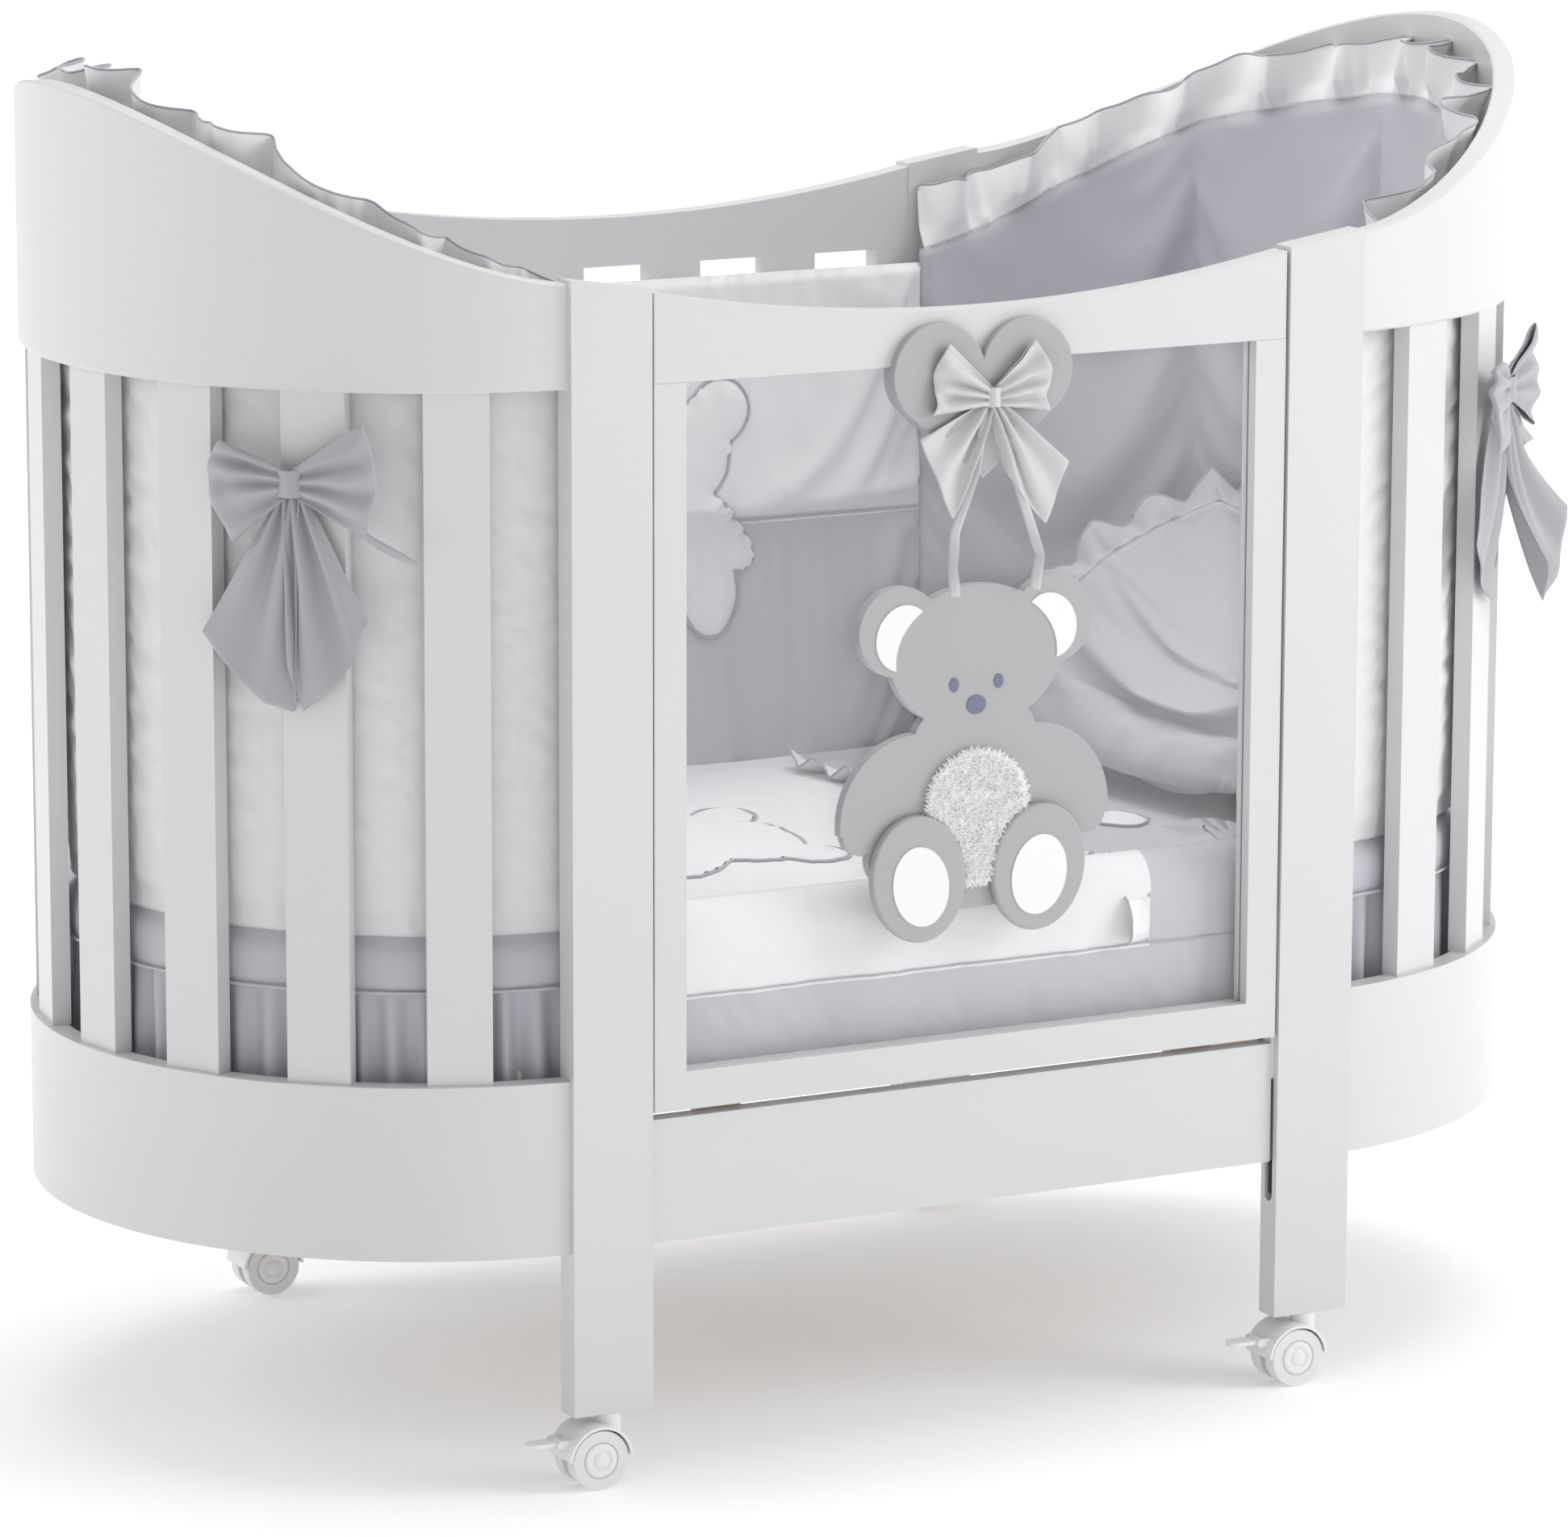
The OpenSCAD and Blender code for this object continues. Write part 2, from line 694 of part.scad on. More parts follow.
function foot_outline(s, grow = 0) = ellipse(s * foot_x, foot_z, 44 + grow, 54 + grow, s * -8);
module bear_feet() {
    color(grey) translate([ornament_x, 0, 0]) for (s = [-1, 1])
        board_xz(-bear_front - foot_t, foot_t) polygon(foot_outline(s));
}
inlay_t = 1;
module bear_inlays() {
    foot_front = -bear_front - foot_t - inlay_t;
    color(white) translate([ornament_x, 0, 0]) for (s = [-1, 1]) {
        board_xz(foot_front, inlay_t) polygon(ellipse(s * (foot_x - 1), foot_z - 6, 26, 34, s * -10));
        board_xz(-bear_front - inlay_t, inlay_t) difference() {
            polygon(ellipse(s * 69, bear_z + 155, 25, 28, s * 20));
            polygon(ellipse(0, bear_z + 134, 76, 57));
        }
    }
}
module bear_face() {
    eye_z = bear_z + 112;
    color([0.38, 0.4, 0.5]) translate([ornament_x, 0, 0]) {
        for (s = [-1, 1])
            board_xz(-bear_front - inlay_t, inlay_t) polygon(ellipse(s * 21, eye_z, 4.3, 6, 0, 24));
        board_xz(-bear_front - inlay_t, inlay_t) polygon(ellipse(0, eye_z - 18, 9, 8, 0, 32));
    }
}
belly_t = 5;
module bear_belly() {
    // A plush drop, round above and narrow between the feet
    color([0.96, 0.96, 0.97]) translate([ornament_x, 0, 0])
        board_xz(-bear_front - belly_t, belly_t) difference() {
            union() {
                polygon(ellipse(0, bear_z + 10, 46, 45));
                polygon([[-41, bear_z - 10], [41, bear_z - 10], [11, bear_z - 56], [-11, bear_z - 56]]);
            }
            for (s = [-1, 1]) polygon(foot_outline(s, 0.5));
        }
}

// ---- casters ----
module caster_sockets() {
    color([0.75, 0.75, 0.77]) for (sx = [-1, 1], sy = [-1, 1])
        translate([sx * post_x, sy * post_y, leg_z]) difference() {
            cylinder(d = socket_d, h = socket_l);
            translate([0, 0, -1]) cylinder(d = stem_d + 2 * run_play, h = socket_l - 2);
        }
}
module at_post(sx, sy) {
    translate([sx * post_x, sy * post_y, 0]) children();
}
// Housing and stem, about the swivel axis; the wheels trail towards -X
module axle_bore() {
    translate([-trail, 0, wheel_r]) rotate([90, 0, 0]) translate([0, 0, -wheel_gap])
        cylinder(d = axle_d + 2 * run_play, h = 2 * wheel_gap);
}
module caster(sx, sy, braked) {
    stem_l = socket_l - 8;
    lug_w = 3;
    color(white) at_post(sx, sy) {
        difference() {
            union() {
                translate([-trail, 0, wheel_r]) rotate([90, 0, 0]) translate([0, 0, -hood_w / 2])
                    cylinder(r = hood_r, h = hood_w);
                cylinder(d = boss_d, h = boss_top);
            }
            for (s = [-1, 1]) translate([-trail, s * (wheel_gap / 2 + 50) , wheel_r]) rotate([90, 0, 0])
                translate([0, 0, -50]) cylinder(r = wheel_r + hood_play, h = 100);
            translate([-trail - 50, -50, -20]) cube([100, 100, 20 + wheel_r + 2]);
            translate([0, 0, boss_top - 16]) cylinder(d = stem_d, h = 20);
            axle_bore();
        }
        // Web between the wheels, which carries the axle
        difference() {
            translate([-trail, 0, wheel_r]) rotate([90, 0, 0]) translate([0, 0, -wheel_gap / 2])
                cylinder(r = 9, h = wheel_gap);
            axle_bore();
        }
        translate([-trail - 7, -wheel_gap / 2, wheel_r + 6]) cube([14, wheel_gap, wheel_r - 4]);
        if (braked) for (s = [-1, 1])
            translate([pedal_pin_x - trail, s * (pedal_w / 2 + 0.5 + lug_w / 2), pedal_pin_z]) {
                difference() {
                    union() {
                        rotate([90, 0, 0]) translate([0, 0, -lug_w / 2]) cylinder(d = 7, h = lug_w);
                        translate([0, -lug_w / 2, -3.5]) cube([9, lug_w, 7]);
                    }
                    rotate([90, 0, 0]) translate([0, 0, -lug_w]) cylinder(d = pedal_pin_d, h = 2 * lug_w);
                }
            }
        if (braked)
            translate([pedal_pin_x - trail, 0, pedal_pin_z]) rotate([90, 0, 0])
                translate([0, 0, -pedal_w / 2 - 0.5 - lug_w]) cylinder(d = pedal_pin_d, h = pedal_w + 1 + 2 * lug_w);
    }
    color("silver") at_post(sx, sy) translate([0, 0, boss_top - 16]) cylinder(d = stem_d, h = stem_l + 16);
}
module wheels(sx, sy) {
    wide = wheel_gap + 2 * wheel_w;
    at_post(sx, sy) translate([-trail, 0, wheel_r]) rotate([90, 0, 0]) {
        color([0.9, 0.9, 0.91]) for (s = [0, 1]) mirror([0, 0, s]) difference() {
            translate([0, 0, wheel_gap / 2 + 0.4]) cylinder(d = wheel_d, h = wheel_w - 0.8);
            translate([0, 0, wheel_gap / 2 + wheel_w - 2]) cylinder(d = wheel_d * 0.62, h = 5);
            cylinder(d = axle_d, h = wide);
        }
        color("silver") translate([0, 0, -wide / 2 + 2]) cylinder(d = axle_d, h = wide - 4);
    }
}
module pedal(sx, sy) {
    reach = 20;
    color(white) at_post(sx, sy) translate([pedal_pin_x - trail, 0, pedal_pin_z]) difference() {
        union() {
            rotate([90, 0, 0]) translate([0, 0, -pedal_w / 2]) cylinder(d = 7, h = pedal_w);
            translate([-reach, -pedal_w / 2, -1.5]) cube([reach, pedal_w, 3.5]);
            translate([-reach, 0, -1.5]) cylinder(d = pedal_w, h = 3.5);
        }
        rotate([90, 0, 0]) translate([0, 0, -pedal_w]) cylinder(d = pedal_pin_d + 2 * run_play, h = 2 * pedal_w);
    }
}

front_post(-1);  // post_front_foot
front_post(1);  // post_front_head
back_post(-1);  // post_back_foot
back_post(1);  // post_back_head
rim_board(-1);  // rim_board_foot
rim_board(1);  // rim_board_head
low_board(-1);  // low_board_foot
low_board(1);  // low_board_head
end_slats_set(-1);  // slats_foot
end_slats_set(1);  // slats_head
back_top_rail();
back_low_board();
back_stiles();
back_slats();
dowels();
deck();
cross_rails();
long_rails();
deck_brackets();
drop_stops();
mattress();
duvet();
pillow();
bumper_back();
bumper_end(-1);  // bumper_foot
bumper_end(1);  // bumper_head
valance(-1);  // valance_foot
valance(1);  // valance_head
end_bow(-1);  // bow_foot
end_bow(1);  // bow_head
gate_top_rail();
gate_bottom_rail();
gate_stiles();
gate_dowels();
gate_pane();
pane_beads();
front_apron();
apron_battens();
guide_shoes();
guide_pins();
shoe_screws();
heart();
heart_spacer();
heart_bow();
bear();
bear_feet();
bear_inlays();
bear_face();
bear_belly();
caster_sockets();
caster(-1, -1, true);  // caster_front_foot
caster(1, -1, true);  // caster_front_head
caster(-1, 1, false);  // caster_back_foot
caster(1, 1, false);  // caster_back_head
wheels(-1, -1);  // wheels_front_foot
wheels(1, -1);  // wheels_front_head
wheels(-1, 1);  // wheels_back_foot
wheels(1, 1);  // wheels_back_head
pedal(-1, -1);  // pedal_front_foot
pedal(1, -1);  // pedal_front_head
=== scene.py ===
import math

import bmesh
import bpy
import numpy as np
from mathutils import Matrix, Vector, noise


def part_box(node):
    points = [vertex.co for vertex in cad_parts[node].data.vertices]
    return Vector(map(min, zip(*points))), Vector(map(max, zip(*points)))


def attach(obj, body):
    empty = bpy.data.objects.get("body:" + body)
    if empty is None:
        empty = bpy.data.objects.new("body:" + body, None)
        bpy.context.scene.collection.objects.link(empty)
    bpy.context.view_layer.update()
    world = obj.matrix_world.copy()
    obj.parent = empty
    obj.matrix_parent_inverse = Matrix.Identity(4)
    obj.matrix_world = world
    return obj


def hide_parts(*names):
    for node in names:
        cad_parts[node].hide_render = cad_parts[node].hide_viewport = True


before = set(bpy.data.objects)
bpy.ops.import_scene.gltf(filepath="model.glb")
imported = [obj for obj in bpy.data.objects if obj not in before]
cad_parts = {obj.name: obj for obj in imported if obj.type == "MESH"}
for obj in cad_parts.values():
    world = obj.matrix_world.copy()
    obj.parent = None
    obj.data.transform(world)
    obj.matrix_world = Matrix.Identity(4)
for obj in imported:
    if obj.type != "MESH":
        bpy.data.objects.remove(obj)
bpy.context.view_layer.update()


# ---------------------------------------------------------------- casters
# Four twin-wheel furniture casters in moulded white plastic, pushed into the legs on a steel stem.
# The two at the front carry a brake pedal.
def shade(r, g, b):
    """A display colour, 0 to 255, as the linear value that a shader wants."""
    return tuple(((c / 255 + 0.055) / 1.055) ** 2.4 for c in (r, g, b))


def add_node(tree, kind, **values):
    """A new node with its inputs filled by name: a socket is linked, anything else is set."""
    made = tree.nodes.new(kind)
    for name, value in values.items():
        socket = made.inputs[name.replace("_", " ")]
        if isinstance(value, bpy.types.NodeSocket):
            tree.links.new(value, socket)
        else:
            socket.default_value = value
    return made


def blend(tree, amount, first, second):
    """The colour between two, by amount from 0 to 1, as a socket."""
    mix = tree.nodes.new("ShaderNodeMix")
    mix.data_type = "RGBA"
    tree.links.new(amount, mix.inputs[0])
    mix.inputs[6].default_value = (*first, 1)
    mix.inputs[7].default_value = (*second, 1)
    return mix.outputs[2]


def uneven_tone(colour, amount):
    """The darker and the lighter ends of a colour that varies by amount."""
    return [c * (1 - amount) for c in colour], [min(1, c * (1 + amount)) for c in colour]


def finish_of(name, colour, rough, bump_scale=0.0, bump_depth=0.0, uneven=0.0, **more):
    """A material with its own fine unevenness in tone, gloss and height."""
    mat = bpy.data.materials.new(name)
    mat.use_nodes = True
    tree = mat.node_tree
    body = tree.nodes["Principled BSDF"]
    body.inputs["Base Color"].default_value = (*colour, 1)
    body.inputs["Roughness"].default_value = rough
    for socket, value in more.items():
        body.inputs[socket.replace("_", " ")].default_value = value
    where = add_node(tree, "ShaderNodeTexCoord").outputs["Object"]
    if bump_scale:
        fine = add_node(tree, "ShaderNodeTexNoise", Scale=bump_scale, Detail=4, Vector=where).outputs["Fac"]
        bump = add_node(tree, "ShaderNodeBump", Strength=0.35, Distance=bump_depth, Height=fine)
        tree.links.new(bump.outputs["Normal"], body.inputs["Normal"])
        gloss = add_node(tree, "ShaderNodeMapRange", To_Min=rough - 0.06, To_Max=rough + 0.06, Value=fine)
        tree.links.new(gloss.outputs["Result"], body.inputs["Roughness"])
    if uneven:
        broad = add_node(tree, "ShaderNodeTexNoise", Scale=6, Vector=where).outputs["Fac"]
        tree.links.new(blend(tree, broad, *uneven_tone(colour, uneven)), body.inputs["Base Color"])
    return mat


def bake(o):
    """Turns an object's modifiers into its own mesh."""
    graph = bpy.context.evaluated_depsgraph_get()
    made = bpy.data.meshes.new_from_object(o.evaluated_get(graph))
    o.modifiers.clear()
    o.data = made
    return o


def put(name, mesh, body):
    """Links a finished mesh at the origin and lets it ride on a CAD body."""
    o = bpy.data.objects.new(name, mesh)
    bpy.context.scene.collection.objects.link(o)
    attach(o, body)
    return o


def eased(node, body, mat, radius=0.0015, steps=2):
    """The CAD piece with its arrises rounded over, as sanding and lacquer leave them."""
    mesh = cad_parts[node].data.copy()
    mesh.materials.clear()
    mesh.materials.append(mat)
    bm = bmesh.new()
    bm.from_mesh(mesh)
    bmesh.ops.remove_doubles(bm, verts=bm.verts, dist=2e-5)
    bmesh.ops.dissolve_limit(bm, angle_limit=math.radians(0.4), verts=bm.verts, edges=bm.edges)
    bmesh.ops.recalc_face_normals(bm, faces=bm.faces)
    for face in bm.faces:
        face.smooth = True
        face.material_index = 0
    bm.to_mesh(mesh)
    bm.free()
    o = put(node + "_finished", mesh, body)
    rounding = o.modifiers.new("round", "BEVEL")
    rounding.width = radius
    rounding.segments = steps
    rounding.limit_method = "ANGLE"
    rounding.angle_limit = math.radians(32)
    rounding.harden_normals = False
    weighted = o.modifiers.new("normals", "WEIGHTED_NORMAL")
    weighted.keep_sharp = True
    weighted.weight = 70
    bake(o)
    o.data.name = o.name
    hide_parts(node)
    return o


white_plastic = finish_of("white moulded plastic", shade(236, 236, 236), 0.32, 900, 0.00002)
wheel_plastic = finish_of("wheel plastic", shade(228, 228, 229), 0.42, 1200, 0.00003)
steel = finish_of("zinc plated steel", (0.55, 0.56, 0.58), 0.34, 300, 0.00001, Metallic=1.0)
for corner in ("front_foot", "front_head", "back_foot", "back_head"):
    eased("caster_" + corner, "swivel_" + corner, white_plastic, 0.0012)
    eased("wheels_" + corner, "wheel_pair_" + corner, wheel_plastic, 0.0018, 3)
    if corner.startswith("front"):
        eased("pedal_" + corner, "brake_" + corner, white_plastic, 0.0008)


def lathe(profile, steps, mesh, at):
    """Turns (radius, height) points round the Y axis through at, into the bmesh."""
    rings = []
    for r, h in profile:
        ring = []
        for k in range(steps):
            a = 2 * math.pi * k / steps
            ring.append(mesh.verts.new((at[0] + r * math.cos(a), at[1] + h, at[2] + r * math.sin(a))))
        rings.append(ring)
    for one, two in zip(rings, rings[1:]):
        for k in range(steps):
            mesh.faces.new((one[k], one[k - 1], two[k - 1], two[k]))
    mesh.faces.new(rings[0][::-1])
    mesh.faces.new(rings[-1])


# Each wheel has a raised hub cap with a ring pressed into it.
for corner in ("front_foot", "front_head", "back_foot", "back_head"):
    low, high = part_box("wheels_" + corner)
    mid = (low + high) / 2
    bm = bmesh.new()
    for face_y, way in ((low.y, -1), (high.y, 1)):
        seat = face_y - way * 0.0024
        cap = [(0.0145, 0), (0.0145, 0.0019), (0.0138, 0.0026), (0.0088, 0.0029), (0.0082, 0.0022),
               (0.0074, 0.0022), (0.0068, 0.0029), (0.0015, 0.0031)]
        lathe([(r, way * h) for r, h in cap], 40, bm, (mid.x, seat, mid.z))
    bmesh.ops.recalc_face_normals(bm, faces=bm.faces)
    for face in bm.faces:
        face.smooth = True
    hub = bpy.data.meshes.new("hub_caps_" + corner)
    bm.to_mesh(hub)
    bm.free()
    hub.materials.append(white_plastic)
    put("hub_caps_" + corner, hub, "wheel_pair_" + corner)


# ---------------------------------------------------------------- posts and end boards
# Four solid beech posts, and at each end a bent rim board on top and a bent board below,
# moulded from thin sheets of wood. All is sanded round at the edges and lacquered satin white.
white_lacquer = finish_of("white satin lacquer", shade(210, 210, 211), 0.36, 260, 0.00004, 0.012,
                          Coat_Weight=0.12, Coat_Roughness=0.25)
for node in ("post_front_foot", "post_front_head", "post_back_foot", "post_back_head"):
    eased(node, "crib", white_lacquer, 0.0016)
for node in ("rim_board_foot", "rim_board_head", "low_board_foot", "low_board_head"):
    eased(node, "crib", white_lacquer, 0.0022, 3)


# ---------------------------------------------------------------- end slats
# Eight upright slats at each end, flat strips set into grooves in the two bent boards.
for node in ("slats_foot", "slats_head"):
    eased(node, "crib", white_lacquer, 0.0016)


# ---------------------------------------------------------------- back
# The fixed back: a rail that dips in the middle, a board below, two edge stiles and flat slats.
for node in ("back_top_rail", "back_low_board", "back_stiles", "back_slats"):
    eased(node, "crib", white_lacquer, 0.0018)


# ---------------------------------------------------------------- mattress base
# A plain board on beech rails between the ends, left uncoated and held by steel angles. Rubber
# stops at the foot of the grooves take the weight of the front when it is let down.
bare_wood = finish_of("bare beech", shade(222, 200, 176), 0.62, 90, 0.0002, 0.06)
grain = bare_wood.node_tree
spot = add_node(grain, "ShaderNodeTexCoord")
stretch = add_node(grain, "ShaderNodeMapping", Scale=(0.4, 3, 3), Vector=spot.outputs["Object"])
rings = add_node(grain, "ShaderNodeTexWave", Scale=9, Distortion=5, Detail=3,
                 Vector=stretch.outputs["Vector"])
rings.bands_direction = "Z"
streak = blend(grain, rings.outputs["Fac"], shade(216, 192, 166), shade(230, 212, 190))
grain.links.new(streak, grain.nodes["Principled BSDF"].inputs["Base Color"])
rubber = finish_of("black rubber", (0.02, 0.02, 0.021), 0.75, 500, 0.00005)
pale_board = finish_of("pale pressed board", shade(233, 231, 228), 0.6, 400, 0.00005, 0.02)
eased("deck", "crib", pale_board, 0.0015)
for node in ("cross_rails", "long_rails"):
    eased(node, "crib", bare_wood, 0.0015)
eased("drop_stops", "crib", rubber, 0.0012)
eased("deck_brackets", "crib", steel, 0.0005)
for node, mat in (("dowels", bare_wood), ("gate_dowels", bare_wood), ("caster_sockets", steel)):
    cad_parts[node].data.materials.clear()
    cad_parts[node].data.materials.append(mat)


# ---------------------------------------------------------------- mattress
# A foam mattress, round at both ends, in a quilted ticking cover with a piped edge above and below.
THREADS = 1500.0  # to the metre


def cloth_of(name, colour, rib, sheen, rough=0.88, slub=0.035):
    """Woven cotton: threads both ways and thicker slubs along the weft, on the piece's own UV in metres."""
    mat = bpy.data.materials.new(name)
    mat.use_nodes = True
    tree = mat.node_tree
    body = tree.nodes["Principled BSDF"]
    body.inputs["Roughness"].default_value = rough
    body.inputs["Sheen Weight"].default_value = sheen
    body.inputs["Sheen Roughness"].default_value = 0.45
    body.inputs["Specular IOR Level"].default_value = 0.3
    where = add_node(tree, "ShaderNodeTexCoord").outputs["UV"]
    long = add_node(tree, "ShaderNodeMapping", Scale=(22, 620, 1), Vector=where).outputs["Vector"]
    weft = add_node(tree, "ShaderNodeTexNoise", Scale=1.0, Detail=3, Vector=long).outputs["Fac"]
    warp = add_node(tree, "ShaderNodeTexWave", Scale=THREADS / 6.0, Distortion=0.4, Vector=where)
    warp = warp.outputs["Fac"]
    tree.links.new(blend(tree, weft, *uneven_tone(colour, slub)), body.inputs["Base Color"])
    first = add_node(tree, "ShaderNodeBump", Strength=rib, Distance=0.0004, Height=weft)
    second = add_node(tree, "ShaderNodeBump", Strength=rib * 0.6, Distance=0.00015, Height=warp,
                      Normal=first.outputs["Normal"])
    tree.links.new(second.outputs["Normal"], body.inputs["Normal"])
    return mat


def woven(name, pts, mats, closed=False, tint=None):
    """A quad mesh from rows of points in metres, with a UV in metres. tint(i, j) gives the material."""
    pts = np.asarray(pts, float)
    rows, cols = pts.shape[:2]
    across = np.linalg.norm(np.diff(pts, axis=1), axis=2).mean(0)
    along = np.linalg.norm(np.diff(pts, axis=0), axis=2).mean(1)
    u, v = np.concatenate([[0], across.cumsum()]), np.concatenate([[0], along.cumsum()])
    faces, spots, tints = [], [], []
    last = cols if closed else cols - 1
    for i in range(rows - 1):
        for j in range(last):
            k = (j + 1) % cols
            faces.append((i * cols + j, i * cols + k, (i + 1) * cols + k, (i + 1) * cols + j))
            end = u[k] if k else u[-1] + across.mean()
            spots += [(u[j], v[i]), (end, v[i]), (end, v[i + 1]), (u[j], v[i + 1])]
            tints.append(tint(i, j) if tint else 0)
    mesh = bpy.data.meshes.new(name)
    mesh.from_pydata(pts.reshape(-1, 3).tolist(), [], faces)
    layer = mesh.uv_layers.new(name="flat")
    layer.data.foreach_set("uv", np.array(spots, np.float32).ravel())
    for mat in mats:
        mesh.materials.append(mat)
    mesh.polygons.foreach_set("material_index", tints)
    mesh.polygons.foreach_set("use_smooth", [True] * len(faces))
    mesh.update()
    return mesh


def sewn(mesh, dist=2e-5):
    """Closes the seams of a mesh and turns its faces outward."""
    bm = bmesh.new()
    bm.from_mesh(mesh)
    bmesh.ops.remove_doubles(bm, verts=bm.verts, dist=dist)
    bmesh.ops.dissolve_degenerate(bm, edges=bm.edges, dist=1e-6)
    bmesh.ops.recalc_face_normals(bm, faces=bm.faces)
    for face in bm.faces:
        face.smooth = True
    bm.to_mesh(mesh)
    bm.free()
    return mesh


def joined(name, meshes):
    """Several meshes with the same materials as one."""
    bm = bmesh.new()
    for mesh in meshes:
        bm.from_mesh(mesh)
    made = bpy.data.meshes.new(name)
    for mat in meshes[0].materials:
        made.materials.append(mat)
    bm.to_mesh(made)
    bm.free()
    return made


def tube(name, path, radius, mats, closed=False, sides=8):
    """A round cord along a path of points, used for piping and thread."""
    path = np.asarray(path, float)
    ahead, behind = np.roll(path, -1, 0), np.roll(path, 1, 0)
    if not closed:
        ahead[-1], behind[0] = path[-1], path[0]
    way = ahead - behind
    way /= np.linalg.norm(way, axis=1)[:, None] + 1e-12
    up = np.tile(np.array([0.0, 0.0, 1.0]), (len(path), 1))
    flat = np.abs(way[:, 2]) > 0.92
    up[flat] = (1.0, 0.0, 0.0)
    side = np.cross(way, up)
    side /= np.linalg.norm(side, axis=1)[:, None] + 1e-12
    over = np.cross(side, way)
    turn = np.linspace(0, 2 * math.pi, sides, endpoint=False)
    ring = side[:, None] * np.cos(turn)[None, :, None] + over[:, None] * np.sin(turn)[None, :, None]
    pts = path[:, None] + radius * ring
    if closed:
        pts = np.concatenate([pts, pts[:1]])
    else:
        pts = np.concatenate([path[:1, None].repeat(sides, 1), pts, path[-1:, None].repeat(sides, 1)])
    return sewn(woven(name, pts, mats, closed=True), 1e-6)


def oval(half_len, radius, steps):
    """Points round a long oval, with straight sides and round ends, from the middle of the back."""
    arc, line = math.pi * radius, 2 * half_len
    total = 2 * (arc + line)
    pts = []
    for k in range(steps):
        s = total * k / steps
        if s < line / 2:
            pts.append((s, radius, 0, 1))
        elif s < line / 2 + arc:
            a = (s - line / 2) / radius
            pts.append((half_len + radius * math.sin(a), radius * math.cos(a), math.sin(a), math.cos(a)))
        elif s < 1.5 * line + arc:
            pts.append((half_len - (s - line / 2 - arc), -radius, 0, -1))
        elif s < 1.5 * line + 2 * arc:
            a = (s - 1.5 * line - arc) / radius
            pts.append((-half_len - radius * math.sin(a), -radius * math.cos(a), -math.sin(a), -math.cos(a)))
        else:
            pts.append((-half_len + (s - 1.5 * line - 2 * arc), radius, 0, 1))
    return np.array(pts)


def hump(x):
    """A smooth step from 0 to 1."""
    x = np.clip(x, 0, 1)
    return x * x * (3 - 2 * x)


ticking = cloth_of("quilted ticking", shade(233, 233, 235), 0.25, 0.3)
END_X = 0.334
BED_R, BED_STEPS = 0.2845, 360
bed_low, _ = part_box("mattress")
round_it = oval(END_X, BED_R, BED_STEPS)
levels = [(0.0, 0.05), (0.0, 0.55), (0.004, 0.965), (0.012, 0.996), (0.030, 1.0), (0.070, 0.997),
          (0.088, 0.996), (0.096, 0.965), (0.0985, 0.7), (0.1, 0.05)]
walls = []
for h, share in levels:
    ripple = 1 + 0.004 * np.cos(np.arange(BED_STEPS) * 2 * math.pi / 9) * (0.02 < h < 0.08)
    r = BED_R * share * ripple
    x = round_it[:, 0] - round_it[:, 2] * (BED_R - r)
    y = round_it[:, 1] - round_it[:, 3] * (BED_R - r)
    if share < 0.9:
        x, y = round_it[:, 0] * share, round_it[:, 1] * share
    walls.append(np.stack([x, y, np.full(BED_STEPS, bed_low.z + h)], 1))
middles = [wall.mean(0, keepdims=True).repeat(BED_STEPS, 0) for wall in (walls[0], walls[-1])]
walls = [middles[0], *walls, middles[1]]
core = sewn(woven("mattress_cover", np.array(walls), [ticking], closed=True))
trim = []
for h in (0.009, 0.091):
    edge = round_it[:, :2] - 0.001 * round_it[:, 2:]
    line = np.column_stack([edge, np.full(BED_STEPS, bed_low.z + h)])
    trim.append(tube("piping", line, 0.0022, [ticking], True))
mattress = put("mattress_cover", joined("mattress_cover", [core, *trim]), "crib")
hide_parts("mattress")


# ---------------------------------------------------------------- bumpers
# Padded cotton panels that line the crib: one round each end, high under the rim, and one along the back.
# The inside is grey, the outside of the ends and the upper back white. Tape and long seams gather the cloth.
grey_cotton = cloth_of("grey cotton", shade(190, 191, 197), 0.12, 0.3, slub=0.02)
white_cotton = cloth_of("white cotton", shade(236, 236, 237), 0.16, 0.25, slub=0.02)
white_rib = cloth_of("white ribbed cotton", shade(226, 226, 228), 0.45, 0.2, slub=0.05)
grey_thread = cloth_of("grey thread", shade(166, 168, 174), 0.3, 0.5, 0.7)


SETTLE_FRAMES = 26


def settle(o, pins, grow, weight, bend, pressure=0.0, hold=()):
    """Lets the cloth find its own folds: it is a little larger than its frame, and held where pins is 1."""
    group = o.vertex_groups.new(name="held")
    for index, value in enumerate(pins):
        if value > 0:
            group.add([index], float(value), "REPLACE")
    cloth = o.modifiers.new("cloth", "CLOTH")
    s = cloth.settings
    s.quality = 5
    s.mass = 0.2
    s.tension_stiffness = s.compression_stiffness = 18
    s.shear_stiffness = 6
    s.bending_stiffness = bend
    s.air_damping = 3
    s.vertex_group_mass = "held"
    s.shrink_min = s.shrink_max = -grow
    s.effector_weights.gravity = weight
    if pressure:
        s.use_pressure = True
        s.uniform_pressure_force = pressure
    cloth.collision_settings.use_collision = bool(hold)
    cloth.collision_settings.distance_min = 0.004
    cloth.point_cache.frame_start = 1
    cloth.point_cache.frame_end = SETTLE_FRAMES
    for other in hold:
        other.modifiers.new("hit", "COLLISION")
        other.collision.thickness_outer = 0.004
    for f in range(1, SETTLE_FRAMES + 1):
        bpy.context.scene.frame_set(f)
    bake(o)
    o.vertex_groups.clear()
    for other in hold:
        other.modifiers.clear()
    bpy.context.scene.frame_set(1)
    return o


